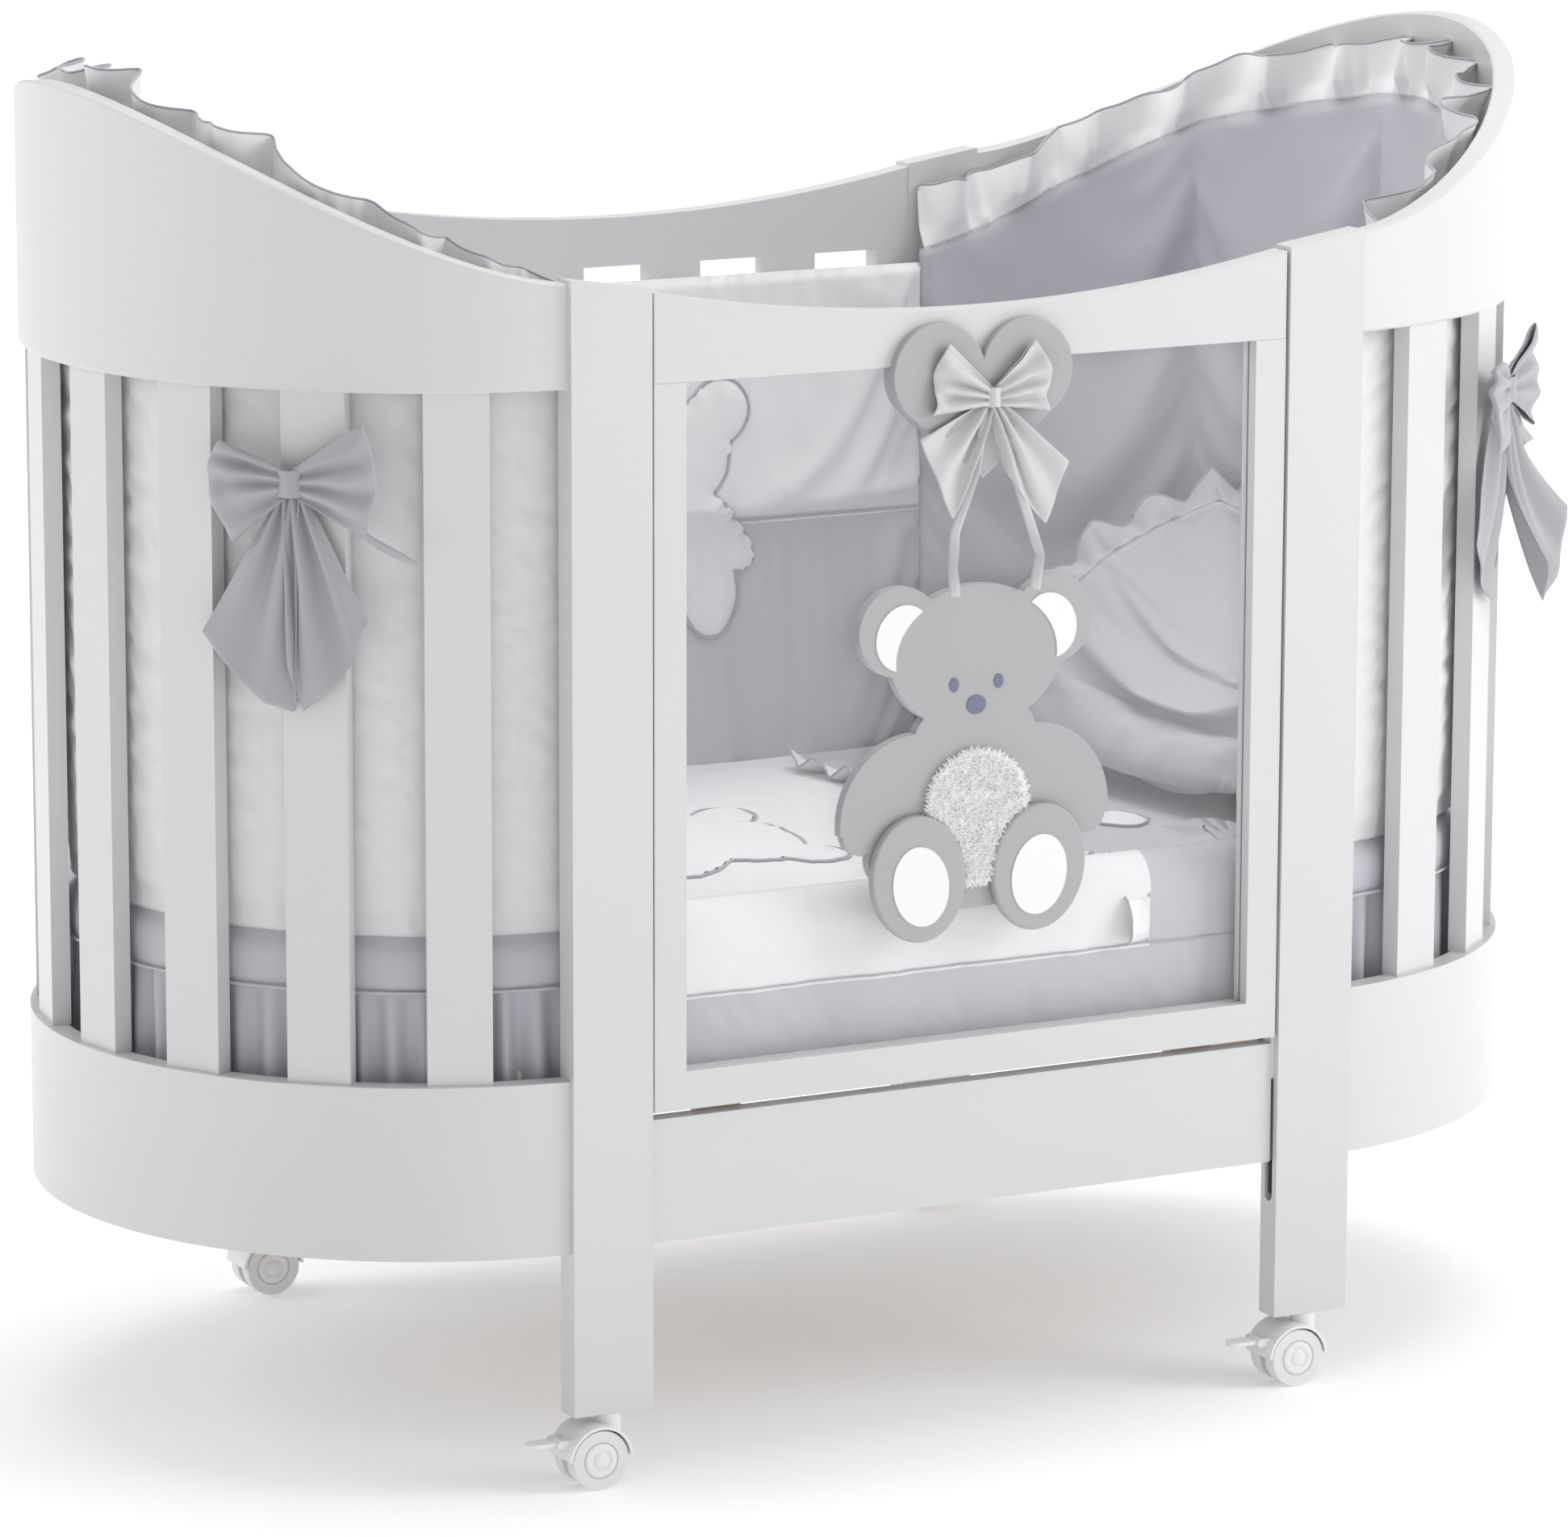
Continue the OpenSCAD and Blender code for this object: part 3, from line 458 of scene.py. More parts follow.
def ripple_at(x, y, z, size, seed):
    return noise.noise(Vector((x / size + seed * 7.3, y / size, z / size)))


def rim_top(angle):
    """Height of the rim board's top edge, by the angle in degrees from the tip of the end."""
    return 0.995 + 0.142 * math.sin(math.radians(90 * max(0, 1 - abs(angle) / 83.97))) ** 1.5


def head_top(angle):
    """Height of the bumper's top seam at the head end."""
    known = [(0, 1.066), (4, 1.065), (10, 1.062), (26, 1.048), (46, 1.026), (63, 0.985), (72.5, 0.961),
             (84, 0.930), (97, 0.911)]
    return float(np.interp(abs(angle), *zip(*known)))


def foot_top(angle):
    """Height of the top seam at the foot end, where it stands a little higher."""
    low = 0.031 + 0.012 * hump((abs(angle) - 60) / 30) + 0.045 * hump((abs(angle) - 82) / 16)
    return rim_top(angle) - low


END_REACH = 97.0
BUMP_R = 0.2994


def end_point(side, angle, r, z):
    """A point on the end's round wall: angle from the tip towards the back, in degrees, then straight on."""
    turn = max(-90.0, min(90.0, angle))
    rest = math.copysign(math.radians(max(0.0, abs(angle) - 90)) * BUMP_R, angle)
    a = math.radians(turn)
    x = END_X + r * math.cos(a) - abs(rest)
    return np.array([side * x, r * math.sin(a), z])


SEAMS = {1: (-97, 6, 46, 97), -1: (-97, -30, 38, 97)}


def end_bumper(name, side, top, node):
    nu, nv = 190, 50
    base = 0.456
    seams = SEAMS[side]
    shells, pins = [], []
    for inner in (True, False):
        rows = []
        for i in range(nv + 1):
            v = i / nv
            row = []
            for j in range(nu + 1):
                angle = -END_REACH + 2 * END_REACH * j / nu
                high = top(angle)
                z = base + (high - base) * v
                near = min(abs(angle - s) for s in seams) / 9.0
                puff = (1 - (2 * v - 1) ** 8) * (1 - (abs(angle) / END_REACH) ** 14)
                if inner:
                    dent = 1 - 0.42 * math.exp(-near * near * 1.6)
                    r = BUMP_R - 0.0165 * max(0, puff) ** 0.5 * dent
                    r += 0.0025 * ripple_at(angle / 8, v * 2, side, 1.0, 3) * puff
                else:
                    r = BUMP_R + 0.0155 * max(0, puff) ** 0.5
                row.append(end_point(side, angle, r, z))
            rows.append(row)
        shells.append(woven(name, rows, [grey_cotton, white_rib], tint=lambda i, j, k=inner: 0 if k else 1))
    mesh = sewn(joined(name, shells))
    o = put(name, mesh, "crib")
    held = []
    for vert in mesh.vertices:
        x, y, z = vert.co
        angle = math.degrees(math.atan2(y, max(1e-6, side * x - END_X)))
        if side * x < END_X:
            angle = math.copysign(90 + math.degrees((END_X - side * x) / BUMP_R), y)
        r = math.hypot(side * x - END_X, y) if abs(angle) < 90 else abs(y)
        high = top(angle)
        edge = min(z - base, high - z, (END_REACH - abs(angle)) * 0.0052)
        on_seam = r < BUMP_R and min(abs(angle - s) for s in seams) < 0.55
        held.append(1.0 if edge < 0.004 or on_seam else (0.0 if r < BUMP_R else 0.35))
    settle(o, held, grow=0.020, pressure=1.2, weight=0.5, bend=0.9)
    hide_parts(node)
    return o


end_bumper("bumper_foot_pad", -1, foot_top, "bumper_foot")
end_bumper("bumper_head_pad", 1, head_top, "bumper_head")

# The back panel is white above a corded seam and grey below it.
PANEL_LOW, PANEL_TOP, PANEL_SEAM, PANEL_Y = 0.428, 0.899, 0.675, 0.3015
nu, nv = 120, 60
shells = []
for inner in (True, False):
    rows = []
    for i in range(nv + 1):
        z = PANEL_LOW + (PANEL_TOP - PANEL_LOW) * i / nv
        row = []
        for j in range(nu + 1):
            x = -0.301 + 0.602 * j / nu
            puff = max(0, (1 - (2 * i / nv - 1) ** 10) * (1 - (2 * j / nu - 1) ** 14)) ** 0.5
            dent = 1 - 0.5 * math.exp(-((z - PANEL_SEAM) / 0.014) ** 2)
            y = PANEL_Y - 0.0165 * puff * dent if inner else PANEL_Y + 0.0165 * puff
            row.append((x, y, z))
        rows.append(row)
    seam_row = int(nv * (PANEL_SEAM - PANEL_LOW) / (PANEL_TOP - PANEL_LOW))
    shells.append(woven("bumper_back_pad", rows, [grey_cotton, white_cotton],
                        tint=lambda i, j, k=inner: 0 if k and i < seam_row else 1))
mesh = sewn(joined("bumper_back_pad", shells))
bumper_back = put("bumper_back_pad", mesh, "crib")
held = []
for vert in mesh.vertices:
    x, y, z = vert.co
    edge = min(z - PANEL_LOW, PANEL_TOP - z, 0.301 - abs(x))
    inside = y < PANEL_Y
    fixed = edge < 0.004 or inside and abs(z - PANEL_SEAM) < 0.005
    held.append(1.0 if fixed else (0.0 if inside else 0.35))
settle(bumper_back, held, grow=0.03, pressure=2.0, weight=0.5, bend=0.6)
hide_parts("bumper_back")


def on_panel(x, z, off=0.0):
    """The inner face of the back panel at x and z."""
    hit, spot, _, _ = bumper_back.ray_cast(Vector((x, 0.0, z)), Vector((0, 1, 0)))
    return np.array([x, (spot.y if hit else 0.285) - off, z])


cord_line = [on_panel(x, PANEL_SEAM, 0.0004) for x in np.linspace(-0.296, 0.296, 150)]
put("back_seam_cord", tube("back_seam_cord", cord_line, 0.0016, [grey_thread]), "crib")


# ---------------------------------------------------------------- ruffles
# Gathered white cotton ruffles sewn into the top seams of the end bumpers, edged with a grey cord.
def thicken(o, amount, offset=0):
    """Gives a sheet its thickness, half on each side unless offset says otherwise."""
    thick = o.modifiers.new("cloth", "SOLIDIFY")
    thick.thickness = amount
    thick.offset = offset
    bake(o)


def ruffle(name, base, up, out, high, mats, body, seed, wave, swing, lean, edge=0.0011):
    """A strip gathered along base, standing up and waving out."""
    base, up, out = (np.asarray(a, float) for a in (base, up, out))
    step = np.linalg.norm(np.diff(base, axis=0), axis=1)
    s = np.concatenate([[0], step.cumsum()])
    fine = np.linspace(0, s[-1], max(80, int(s[-1] / 0.0024)))
    pick = lambda a: np.stack([np.interp(fine, s, a[:, k]) for k in range(3)], 1)
    base, up, out = pick(base), pick(up), pick(out)
    tang = np.gradient(base, axis=0)
    tang /= np.linalg.norm(tang, axis=1)[:, None]
    rate = np.array([1 + 0.9 * noise.noise(Vector((x * 9, seed, 0))) for x in fine])
    phase = np.cumsum(np.gradient(fine) * 2 * math.pi / wave * rate)
    size = np.array([1 + 0.9 * noise.noise(Vector((x * 11, seed + 9, 0))) for x in fine])
    tall = np.array([1 + 0.30 * noise.noise(Vector((x * 13, seed + 5, 0))) for x in fine])
    small = np.array([noise.noise(Vector((x * 95, seed + 2, 0))) for x in fine])
    rows = []
    for k in range(17):
        v = k / 16
        swell = swing * size * min(1, v * 3) * (0.35 + 0.65 * v)
        sway = (np.sin(phase + 0.7 * v) + 0.16 * np.sin(2.1 * phase + seed)) * swell
        sway += 0.0075 * small * (1 - 0.7 * v) * min(1, v * 7)
        fold = np.sin(2 * phase + 0.9) * 0.10 * swing * size * v ** 1.2
        rise = high * tall * v * (1 - 0.05 * v * np.cos(phase + 0.4) ** 2)
        away = sway + lean * high * v * v
        rows.append(base + up * rise[:, None] + out * away[:, None] + tang * fold[:, None])
    grid = np.array(rows)
    mesh = woven(name, grid, mats[:1])
    o = put(name, mesh, body)
    thicken(o, 0.0009)
    hem = put(name + "_cord", tube(name + "_cord", grid[-1], edge, mats[1:] or mats[:1]), body)
    return o


def end_ruffle(name, side, top, high, lean, seed):
    angles = np.linspace(-END_REACH + 1, END_REACH - 1, 260)
    base, up, out = [], [], []
    for angle in angles:
        base.append(end_point(side, angle, BUMP_R, top(angle) - 0.002))
        a = math.radians(max(-90, min(90, angle)))
        out.append((side * math.cos(a), math.sin(a), 0))
        up.append((0, 0, 1))
    return ruffle(name, base, up, -np.array(out), high, [white_cotton, grey_thread], "crib",
                  seed, wave=0.078, swing=0.0165, lean=lean)


end_ruffle("ruffle_foot", -1, foot_top, 0.046, -0.10, 2)
end_ruffle("ruffle_head", 1, head_top, 0.050, -0.12, 5)


# ---------------------------------------------------------------- valance
# A grey skirt hangs from the lower seam of each end bumper, down past the mattress: a flat band,
# and below it a gathered length of the same cotton.
def valance(name, side, node, seed):
    angles = np.linspace(-END_REACH, END_REACH, 620)
    run = np.radians(angles) * 0.309
    phase = np.cumsum(np.gradient(run) * 2 * math.pi / 0.027
                      * np.array([1 + 0.9 * noise.noise(Vector((x * 12, seed, 0))) for x in run]))
    size = np.array([0.95 + 0.9 * noise.noise(Vector((x * 9, seed + 3, 0))) for x in run]).clip(0.4, 1.3)
    rows = []
    for z in np.concatenate([[0.466, 0.460], np.linspace(0.454, 0.417, 7), np.linspace(0.414, 0.262, 24)]):
        fall = max(0, (0.417 - z) / 0.155)
        pleat = np.sin(phase + 0.8 * fall) * 0.0078 * size * (0.25 * (fall > 0) + 0.75 * fall ** 0.6)
        pleat += np.array([0.0016 * noise.noise(Vector((x * 26, z * 20, seed))) for x in run])
        belly = 0.3085 + 0.0035 * (z > 0.416) + 0.0025 * math.sin(math.pi * min(1, max(0, 0.457 - z) / 0.04))
        belly -= 0.010 * hump((z - 0.450) / 0.016)
        rows.append([end_point(side, a, belly + p, z) for a, p in zip(angles, pleat)])
    mesh = woven(name, rows, [grey_cotton])
    o = put(name, mesh, "crib")
    thicken(o, 0.001)
    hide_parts(node)
    band = [end_point(side, a, 0.3155, 0.4165) for a in np.linspace(-END_REACH + 1, END_REACH - 1, 240)]
    put(name + "_seam", tube(name + "_seam", band, 0.0013, [grey_cotton]), "crib")


valance("valance_foot_skirt", -1, "valance_foot", 4)
valance("valance_head_skirt", 1, "valance_head", 11)


# ---------------------------------------------------------------- quilt
# A padded cover over the mattress, its front falling behind the clear pane. It is white towards the foot,
# grey towards the head and along the bottom, with a curved ruffle where the two cloths meet.
TOP_Z, ROLL, HEM_Z = 0.474, 0.030, 0.397
nx, ny = 230, 96
xs = -0.606 + 1.212 * np.arange(nx + 1) / nx


def half_width(x):
    past = max(0.0, abs(x) - END_X)
    return math.sqrt(max(0.0, 0.2745 ** 2 - past * past))


def quilt_point(x, v):
    """v runs from the back edge, 0, over the top to the hanging front edge, 1."""
    drop = 0.118 * float(hump((0.301 - abs(x)) / 0.012))
    wide = half_width(x)
    front = wide + 0.039 * float(hump((0.306 - abs(x)) / 0.02))
    flat_run = wide + front - ROLL
    bend = ROLL * math.pi / 2
    total = flat_run + bend + drop
    s = v * total
    if s < flat_run:
        y, z = wide - s, TOP_Z
    elif s < flat_run + bend:
        a = (s - flat_run) / ROLL
        y, z = -(front - ROLL) - ROLL * math.sin(a), TOP_Z - ROLL * (1 - math.cos(a))
    else:
        y, z = -front, TOP_Z - ROLL - (s - flat_run - bend)
        slack = min(1.0, (s - flat_run - bend) / 0.03)
        y += slack * 0.0042 * ripple_at(x, z * 0.3, 0, 0.060, 2)
        y += slack * 0.002 * ripple_at(x, z * 1.4 + x, 0, 0.022, 4)
    z -= 0.016 * math.exp(-((wide - abs(y)) / 0.018) ** 2) * (s < flat_run)
    z += 0.004 * ripple_at(x, y, 0, 0.11, 1) * (s < flat_run)
    return (x, y, z)


def seam_x(s):
    """Where white turns to grey, along the quilt's width."""
    return 0.160 + 0.028 * float(hump(s / 0.9))


rows = [[quilt_point(x, j / ny) for j in range(ny + 1)] for x in xs]


def quilt_cloth(i, j):
    x, y, z = rows[i][j]
    return int(y < -0.27 and z < HEM_Z or x > seam_x(j / ny))


quilt_mesh = woven("quilt", rows, [white_cotton, grey_cotton], tint=quilt_cloth)
quilt = put("quilt", quilt_mesh, "crib")
held = []
for i in range(nx + 1):
    for j in range(ny + 1):
        x, y, z = rows[i][j]
        fixed = j in (0, ny) or abs(x) > 0.596 or y < -0.290
        fixed = fixed or abs(x) > 0.290 and y < -0.255
        held.append(1.0 if fixed else 0.02)
settle(quilt, held, grow=0.010, weight=0.6, bend=2.5, hold=[mattress])
for vert in quilt.data.vertices:
    if vert.co.y < -0.28 and abs(vert.co.x) < 0.30:
        vert.co.y = max(-0.3205, min(vert.co.y, -0.3055 if vert.co.z < 0.43 else vert.co.y))
thicken(quilt, 0.008, -1)
flip = bmesh.new()
flip.from_mesh(quilt.data)
bmesh.ops.remove_doubles(flip, verts=flip.verts, dist=1e-6)
bmesh.ops.recalc_face_normals(flip, faces=flip.faces)
flip.to_mesh(quilt.data)
flip.free()
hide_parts("duvet")


def on_quilt(x, y, off=0.0):
    """The quilt's upper face at x and y."""
    hit, spot, _, _ = quilt.ray_cast(Vector((x, y, 0.7)), Vector((0, 0, -1)))
    return np.array([x, y, (spot.z if hit else TOP_Z) + off])


def on_front(x, z, off=0.0):
    """The quilt's hanging front at x and z."""
    hit, spot, _, _ = quilt.ray_cast(Vector((x, -0.6, z)), Vector((0, 1, 0)))
    return np.array([x, (spot.y if hit else -0.297) - off, z])


line, up, out = [], [], []
for t in np.linspace(0, 1, 90):
    y = 0.25 - 0.535 * t
    x = seam_x((0.2745 - y) / 0.66)
    line.append(on_quilt(x, y, 0.0012))
    up.append((-0.97, 0.0, 0.24))
    out.append((0.24, 0, 0.97))
for z in np.linspace(0.436, 0.400, 12):
    line.append(on_front(seam_x(0.93), z, 0.0016))
    up.append((-0.93, -0.2, 0))
    out.append((-0.2, -0.93, 0))
ruffle("quilt_ruffle", line, up, out, 0.026, [white_cotton, grey_thread], "crib", 8,
       wave=0.045, swing=0.0065, lean=0.18, edge=0.0011)
hem_line = [on_front(x, HEM_Z, 0.0008) for x in np.linspace(-0.288, 0.288, 140)]
put("quilt_seam", tube("quilt_seam", hem_line, 0.0009, [grey_thread]), "crib")
side_line = [on_front(seam_x(0.93), z, 0.0008) for z in np.linspace(0.44, HEM_Z, 14)]
put("quilt_side_seam", tube("quilt_side_seam", side_line, 0.0009, [grey_thread]), "crib")


# ---------------------------------------------------------------- appliques
# Flat bears cut from white cotton, lightly padded and edged with grey satin stitch: one sits on the
# back panel, the other lies on the quilt with its head towards the pillow.
def ring(cx, cz, rx, rz, start=0, end=360, count=40):
    """Points of an ellipse between two angles, in millimetres."""
    return [(cx + rx * math.cos(math.radians(a)), cz + rz * math.sin(math.radians(a)))
            for a in np.linspace(start, end, count)]


def bear_outline():
    """Half of the bear from the top of the head round the ear, arm and foot, then mirrored."""
    half = ring(0, 740, 92, 58, 90, 55, 8)
    half += ring(88, 779, 29, 29, 130, -75, 26)
    half += ring(0, 738, 92, 60, -2, -34, 7)
    half += [(86, 694), (103, 679), (115, 664), (122, 649), (122, 638), (115, 630), (106, 629)]
    half += ring(76, 612, 30, 41, 22, -180, 28)
    half += [(38, 598), (20, 588), (0, 585)]
    return half + [(-x, z) for x, z in reversed(half[1:-1])]


STITCH = 2.6  # reach of a satin stitch, in millimetres


def applique(name, outlines, seat, body, mat, thread, seed):
    """seat(x, z, lift) puts a drawing point on the cloth. The first outline is filled, all are stitched."""
    edge = outlines[0]
    bm = bmesh.new()
    loop = [bm.verts.new((x, z, 0)) for x, z in edge]
    face = bm.faces.new(loop)
    bmesh.ops.triangulate(bm, faces=[face])
    for _ in range(4):
        long = [e for e in bm.edges if e.calc_length() > 9]
        bmesh.ops.subdivide_edges(bm, edges=long, cuts=1)
        bmesh.ops.triangulate(bm, faces=bm.faces[:])
    border = np.array(edge + edge[:1])
    for vert in bm.verts:
        x, z = vert.co.x, vert.co.y
        away = min(1.0, float(np.min(np.hypot(border[:, 0] - x, border[:, 1] - z))) / 14)
        puff = 0.0045 * (1 - (1 - away) ** 2) + 0.0008 * noise.noise(Vector((x / 22, z / 22, seed)))
        vert.co = seat(x, z, 0.0006 + max(0, puff))
    bmesh.ops.recalc_face_normals(bm, faces=bm.faces)
    mesh = bpy.data.meshes.new(name)
    bm.to_mesh(mesh)
    bm.free()
    mesh.materials.append(mat)
    for poly in mesh.polygons:
        poly.use_smooth = True
    o = put(name, mesh, body)
    cords = []
    for line in outlines:
        pts = np.array(line + line[:1], float)
        run = np.concatenate([[0], np.hypot(*np.diff(pts, axis=0).T).cumsum()])
        fine = np.arange(0, run[-1], 1.6)
        path = [seat(np.interp(k, run, pts[:, 0]), np.interp(k, run, pts[:, 1]), 0.0016) for k in fine]
        cords.append(tube(name, path, 0.0013, [thread], True, 6))
        zig = []
        for number, k in enumerate(np.arange(0, run[-1], 1.3)):
            x, z = np.interp(k, run, pts[:, 0]), np.interp(k, run, pts[:, 1])
            ahead = (np.interp(k + 0.5, run, pts[:, 0]) - x, np.interp(k + 0.5, run, pts[:, 1]) - z)
            size = math.hypot(*ahead) + 1e-9
            swing = STITCH * (0.2 if number % 2 else -0.9)
            zig.append(seat(x - ahead[1] / size * swing, z + ahead[0] / size * swing, 0.0021))
        cords.append(tube(name, zig, 0.0005, [thread], True, 4))
    put(name + "_stitching", joined(name + "_stitching", cords), body)

ear_marks = [[(s * x, z) for x, z in ring(88, 777, 11, 16, -60, 120, 16) + [(78, 786)]] for s in (1, -1)]
foot_marks = [[(s * x, z) for x, z in ring(74, 608, 17, 26)][:-1] for s in (1, -1)]
foot_rims = [[(s * x, z) for x, z in ring(76, 612, 30, 41)][:-1] for s in (1, -1)]
face_marks = [ring(s * 20, 738, 3, 4.5)[:-1] for s in (1, -1)] + [ring(0, 718, 8, 6)[:-1]]
all_lines = [bear_outline(), *ear_marks, *foot_marks, *foot_rims, *face_marks]
applique("back_bear", all_lines, lambda x, z, painted_glow_strength: tuple(on_panel(x / 1000, z / 1000, painted_glow_strength)), "crib",
         white_cotton, grey_thread, 3)
applique("quilt_cloud", [ring(0, 0, 30, 24)[:-1]],
         lambda x, z, painted_glow_strength: tuple(on_quilt(0.285 + z / 1000, -0.094 + x / 1000, painted_glow_strength)),
         "crib", white_cotton, grey_thread, 9)
applique("quilt_bear", all_lines,
         lambda x, z, painted_glow_strength: tuple(on_quilt((z - 740) / 1000 - 0.059, -0.017 - x / 1000, painted_glow_strength)),
         "crib", white_cotton, grey_thread, 6)


# ---------------------------------------------------------------- pillow
# A full grey cotton pillow that leans on the head bumper, with a ruffle in its side seam.
FAR_Y, NEAR_Y, BACK_X = 0.150, -0.200, 0.530


def pillow_seam(u, v):
    """The pillow's middle surface: u from its foot side to its head side, v from the far side to the near."""
    step = float(np.interp(u, [0, 0.06, 0.14, 0.26, 0.45, 0.7, 1], [0, 0.25, 0.44, 0.62, 0.76, 0.88, 1]))
    foot_x, top_z = 0.312 + 0.036 * v, 0.690 - 0.045 * v
    y = FAR_Y + (NEAR_Y - FAR_Y) * v
    x = foot_x + (BACK_X - foot_x) * u
    return np.array([x, y, 0.482 - 0.006 * v + (top_z - 0.482 + 0.006 * v) * step])


n, m = 60, 76
shells = []
for way in (1, -1):
    rows = []
    for i in range(n + 1):
        u = i / n
        row = []
        for j in range(m + 1):
            v = j / m
            fill = max(0.0, (1 - (2 * u - 1) ** 4) * (1 - (2 * v - 1) ** 4))
            p = pillow_seam(u, v)
            if way > 0:
                p = p + np.array([-0.42, -0.10, 0.62]) * 0.034 * fill ** 0.7
            else:
                p = p + np.array([0.30, 0, -0.95]) * min(0.13, p[2] - 0.476) * fill ** 0.35
            corner = (2 * u - 1) ** 2 * (2 * v - 1) ** 2
            p = p + (pillow_seam(0.5, 0.5) - p) * 0.07 * corner
            row.append(p)
        rows.append(row)
    shells.append(woven("pillow_pad", rows, [grey_cotton]))
mesh = sewn(joined("pillow_pad", shells))
pillow = put("pillow_pad", mesh, "crib")
seam_line = []
for u, v in [(k / 60, 0) for k in range(60)] + [(1, k / 60) for k in range(60)] + \
            [(1 - k / 60, 1) for k in range(60)] + [(0, 1 - k / 60) for k in range(61)]:
    p = pillow_seam(u, v)
    corner = (2 * u - 1) ** 2 * (2 * v - 1) ** 2
    seam_line.append(p + (pillow_seam(0.5, 0.5) - p) * 0.07 * corner)
seam_line = np.array(seam_line)
held = []
for vert in mesh.vertices:
    held.append(1.0 if np.min(np.linalg.norm(seam_line - np.array(vert.co), axis=1)) < 0.0045 else 0.06)
settle(pillow, held, grow=0.022, pressure=1.2, weight=0.5, bend=0.5)
for vert in pillow.data.vertices:
    x, y, z = vert.co
    if z < 0.53:
        vert.co.z = max(z, on_quilt(x, y, 0.0015)[2])
    if math.hypot(max(0.0, x - END_X), y) > 0.281:
        vert.co.x = END_X + math.sqrt(max(0.0, 0.281 ** 2 - y * y))
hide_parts("pillow")

rim_out = seam_line - pillow_seam(0.5, 0.5) + np.array([0, 0, 0.05])
rim_out /= np.linalg.norm(rim_out, axis=1)[:, None]
ahead = np.tile(np.array([-0.55, -0.1, 0.82]), (len(seam_line), 1))
part = slice(0, 181)
ruffle("pillow_ruffle", seam_line[part], rim_out[part], ahead[part], 0.030, [grey_cotton, grey_thread],
       "crib", 13, wave=0.052, swing=0.0105, lean=0.1, edge=0.0012)


# ---------------------------------------------------------------- dropping front
# The front frame: an arched top rail, two stiles and a bottom rail, with a clear acrylic pane held
# in its rebate by beads. The apron below is joined to it by battens and goes down with it.
for node in ("gate_top_rail", "gate_bottom_rail", "gate_stiles", "pane_beads", "front_apron"):
    eased(node, "drop_side", white_lacquer, 0.0015)
eased("apron_battens", "drop_side", bare_wood, 0.0012)
eased("guide_shoes", "drop_side", white_plastic, 0.0008)
eased("guide_pins", "drop_side", steel, 0.0006)
eased("shoe_screws", "drop_side", steel, 0.0003)
acrylic = finish_of("clear acrylic", (0.93, 0.95, 0.96), 0.03, Alpha=0.07, IOR=1.49)
eased("gate_pane", "drop_side", acrylic, 0.0006)


# ---------------------------------------------------------------- heart and bear
# Flat wooden figures on the pane, cut from board, rounded over and lacquered grey. The heart stands
# on a spacer; the bear has inlaid white ears and pads, dark eyes and nose, and a plush belly.
grey_lacquer = finish_of("grey satin lacquer", shade(168, 170, 172), 0.38, 240, 0.00004, 0.01,
                         Coat_Weight=0.1, Coat_Roughness=0.25)
white_inlay = finish_of("white lacquered inlay", shade(236, 236, 238), 0.35, 240, 0.00003)
slate_inlay = finish_of("slate lacquered inlay", shade(112, 116, 138), 0.35, 240, 0.00003)
eased("heart", "drop_side", grey_lacquer, 0.0026, 4)
eased("heart_spacer", "drop_side", grey_lacquer, 0.0010)
eased("bear", "drop_side", grey_lacquer, 0.0026, 4)
eased("bear_feet", "drop_side", grey_lacquer, 0.0026, 4)
eased("bear_inlays", "drop_side", white_inlay, 0.0004)
eased("bear_face", "drop_side", slate_inlay, 0.0003)

plush = cloth_of("white plush", shade(252, 252, 252), 0.1, 1.0, 0.95)
belly = eased("bear_belly", "drop_side", plush, 0.0035, 3)


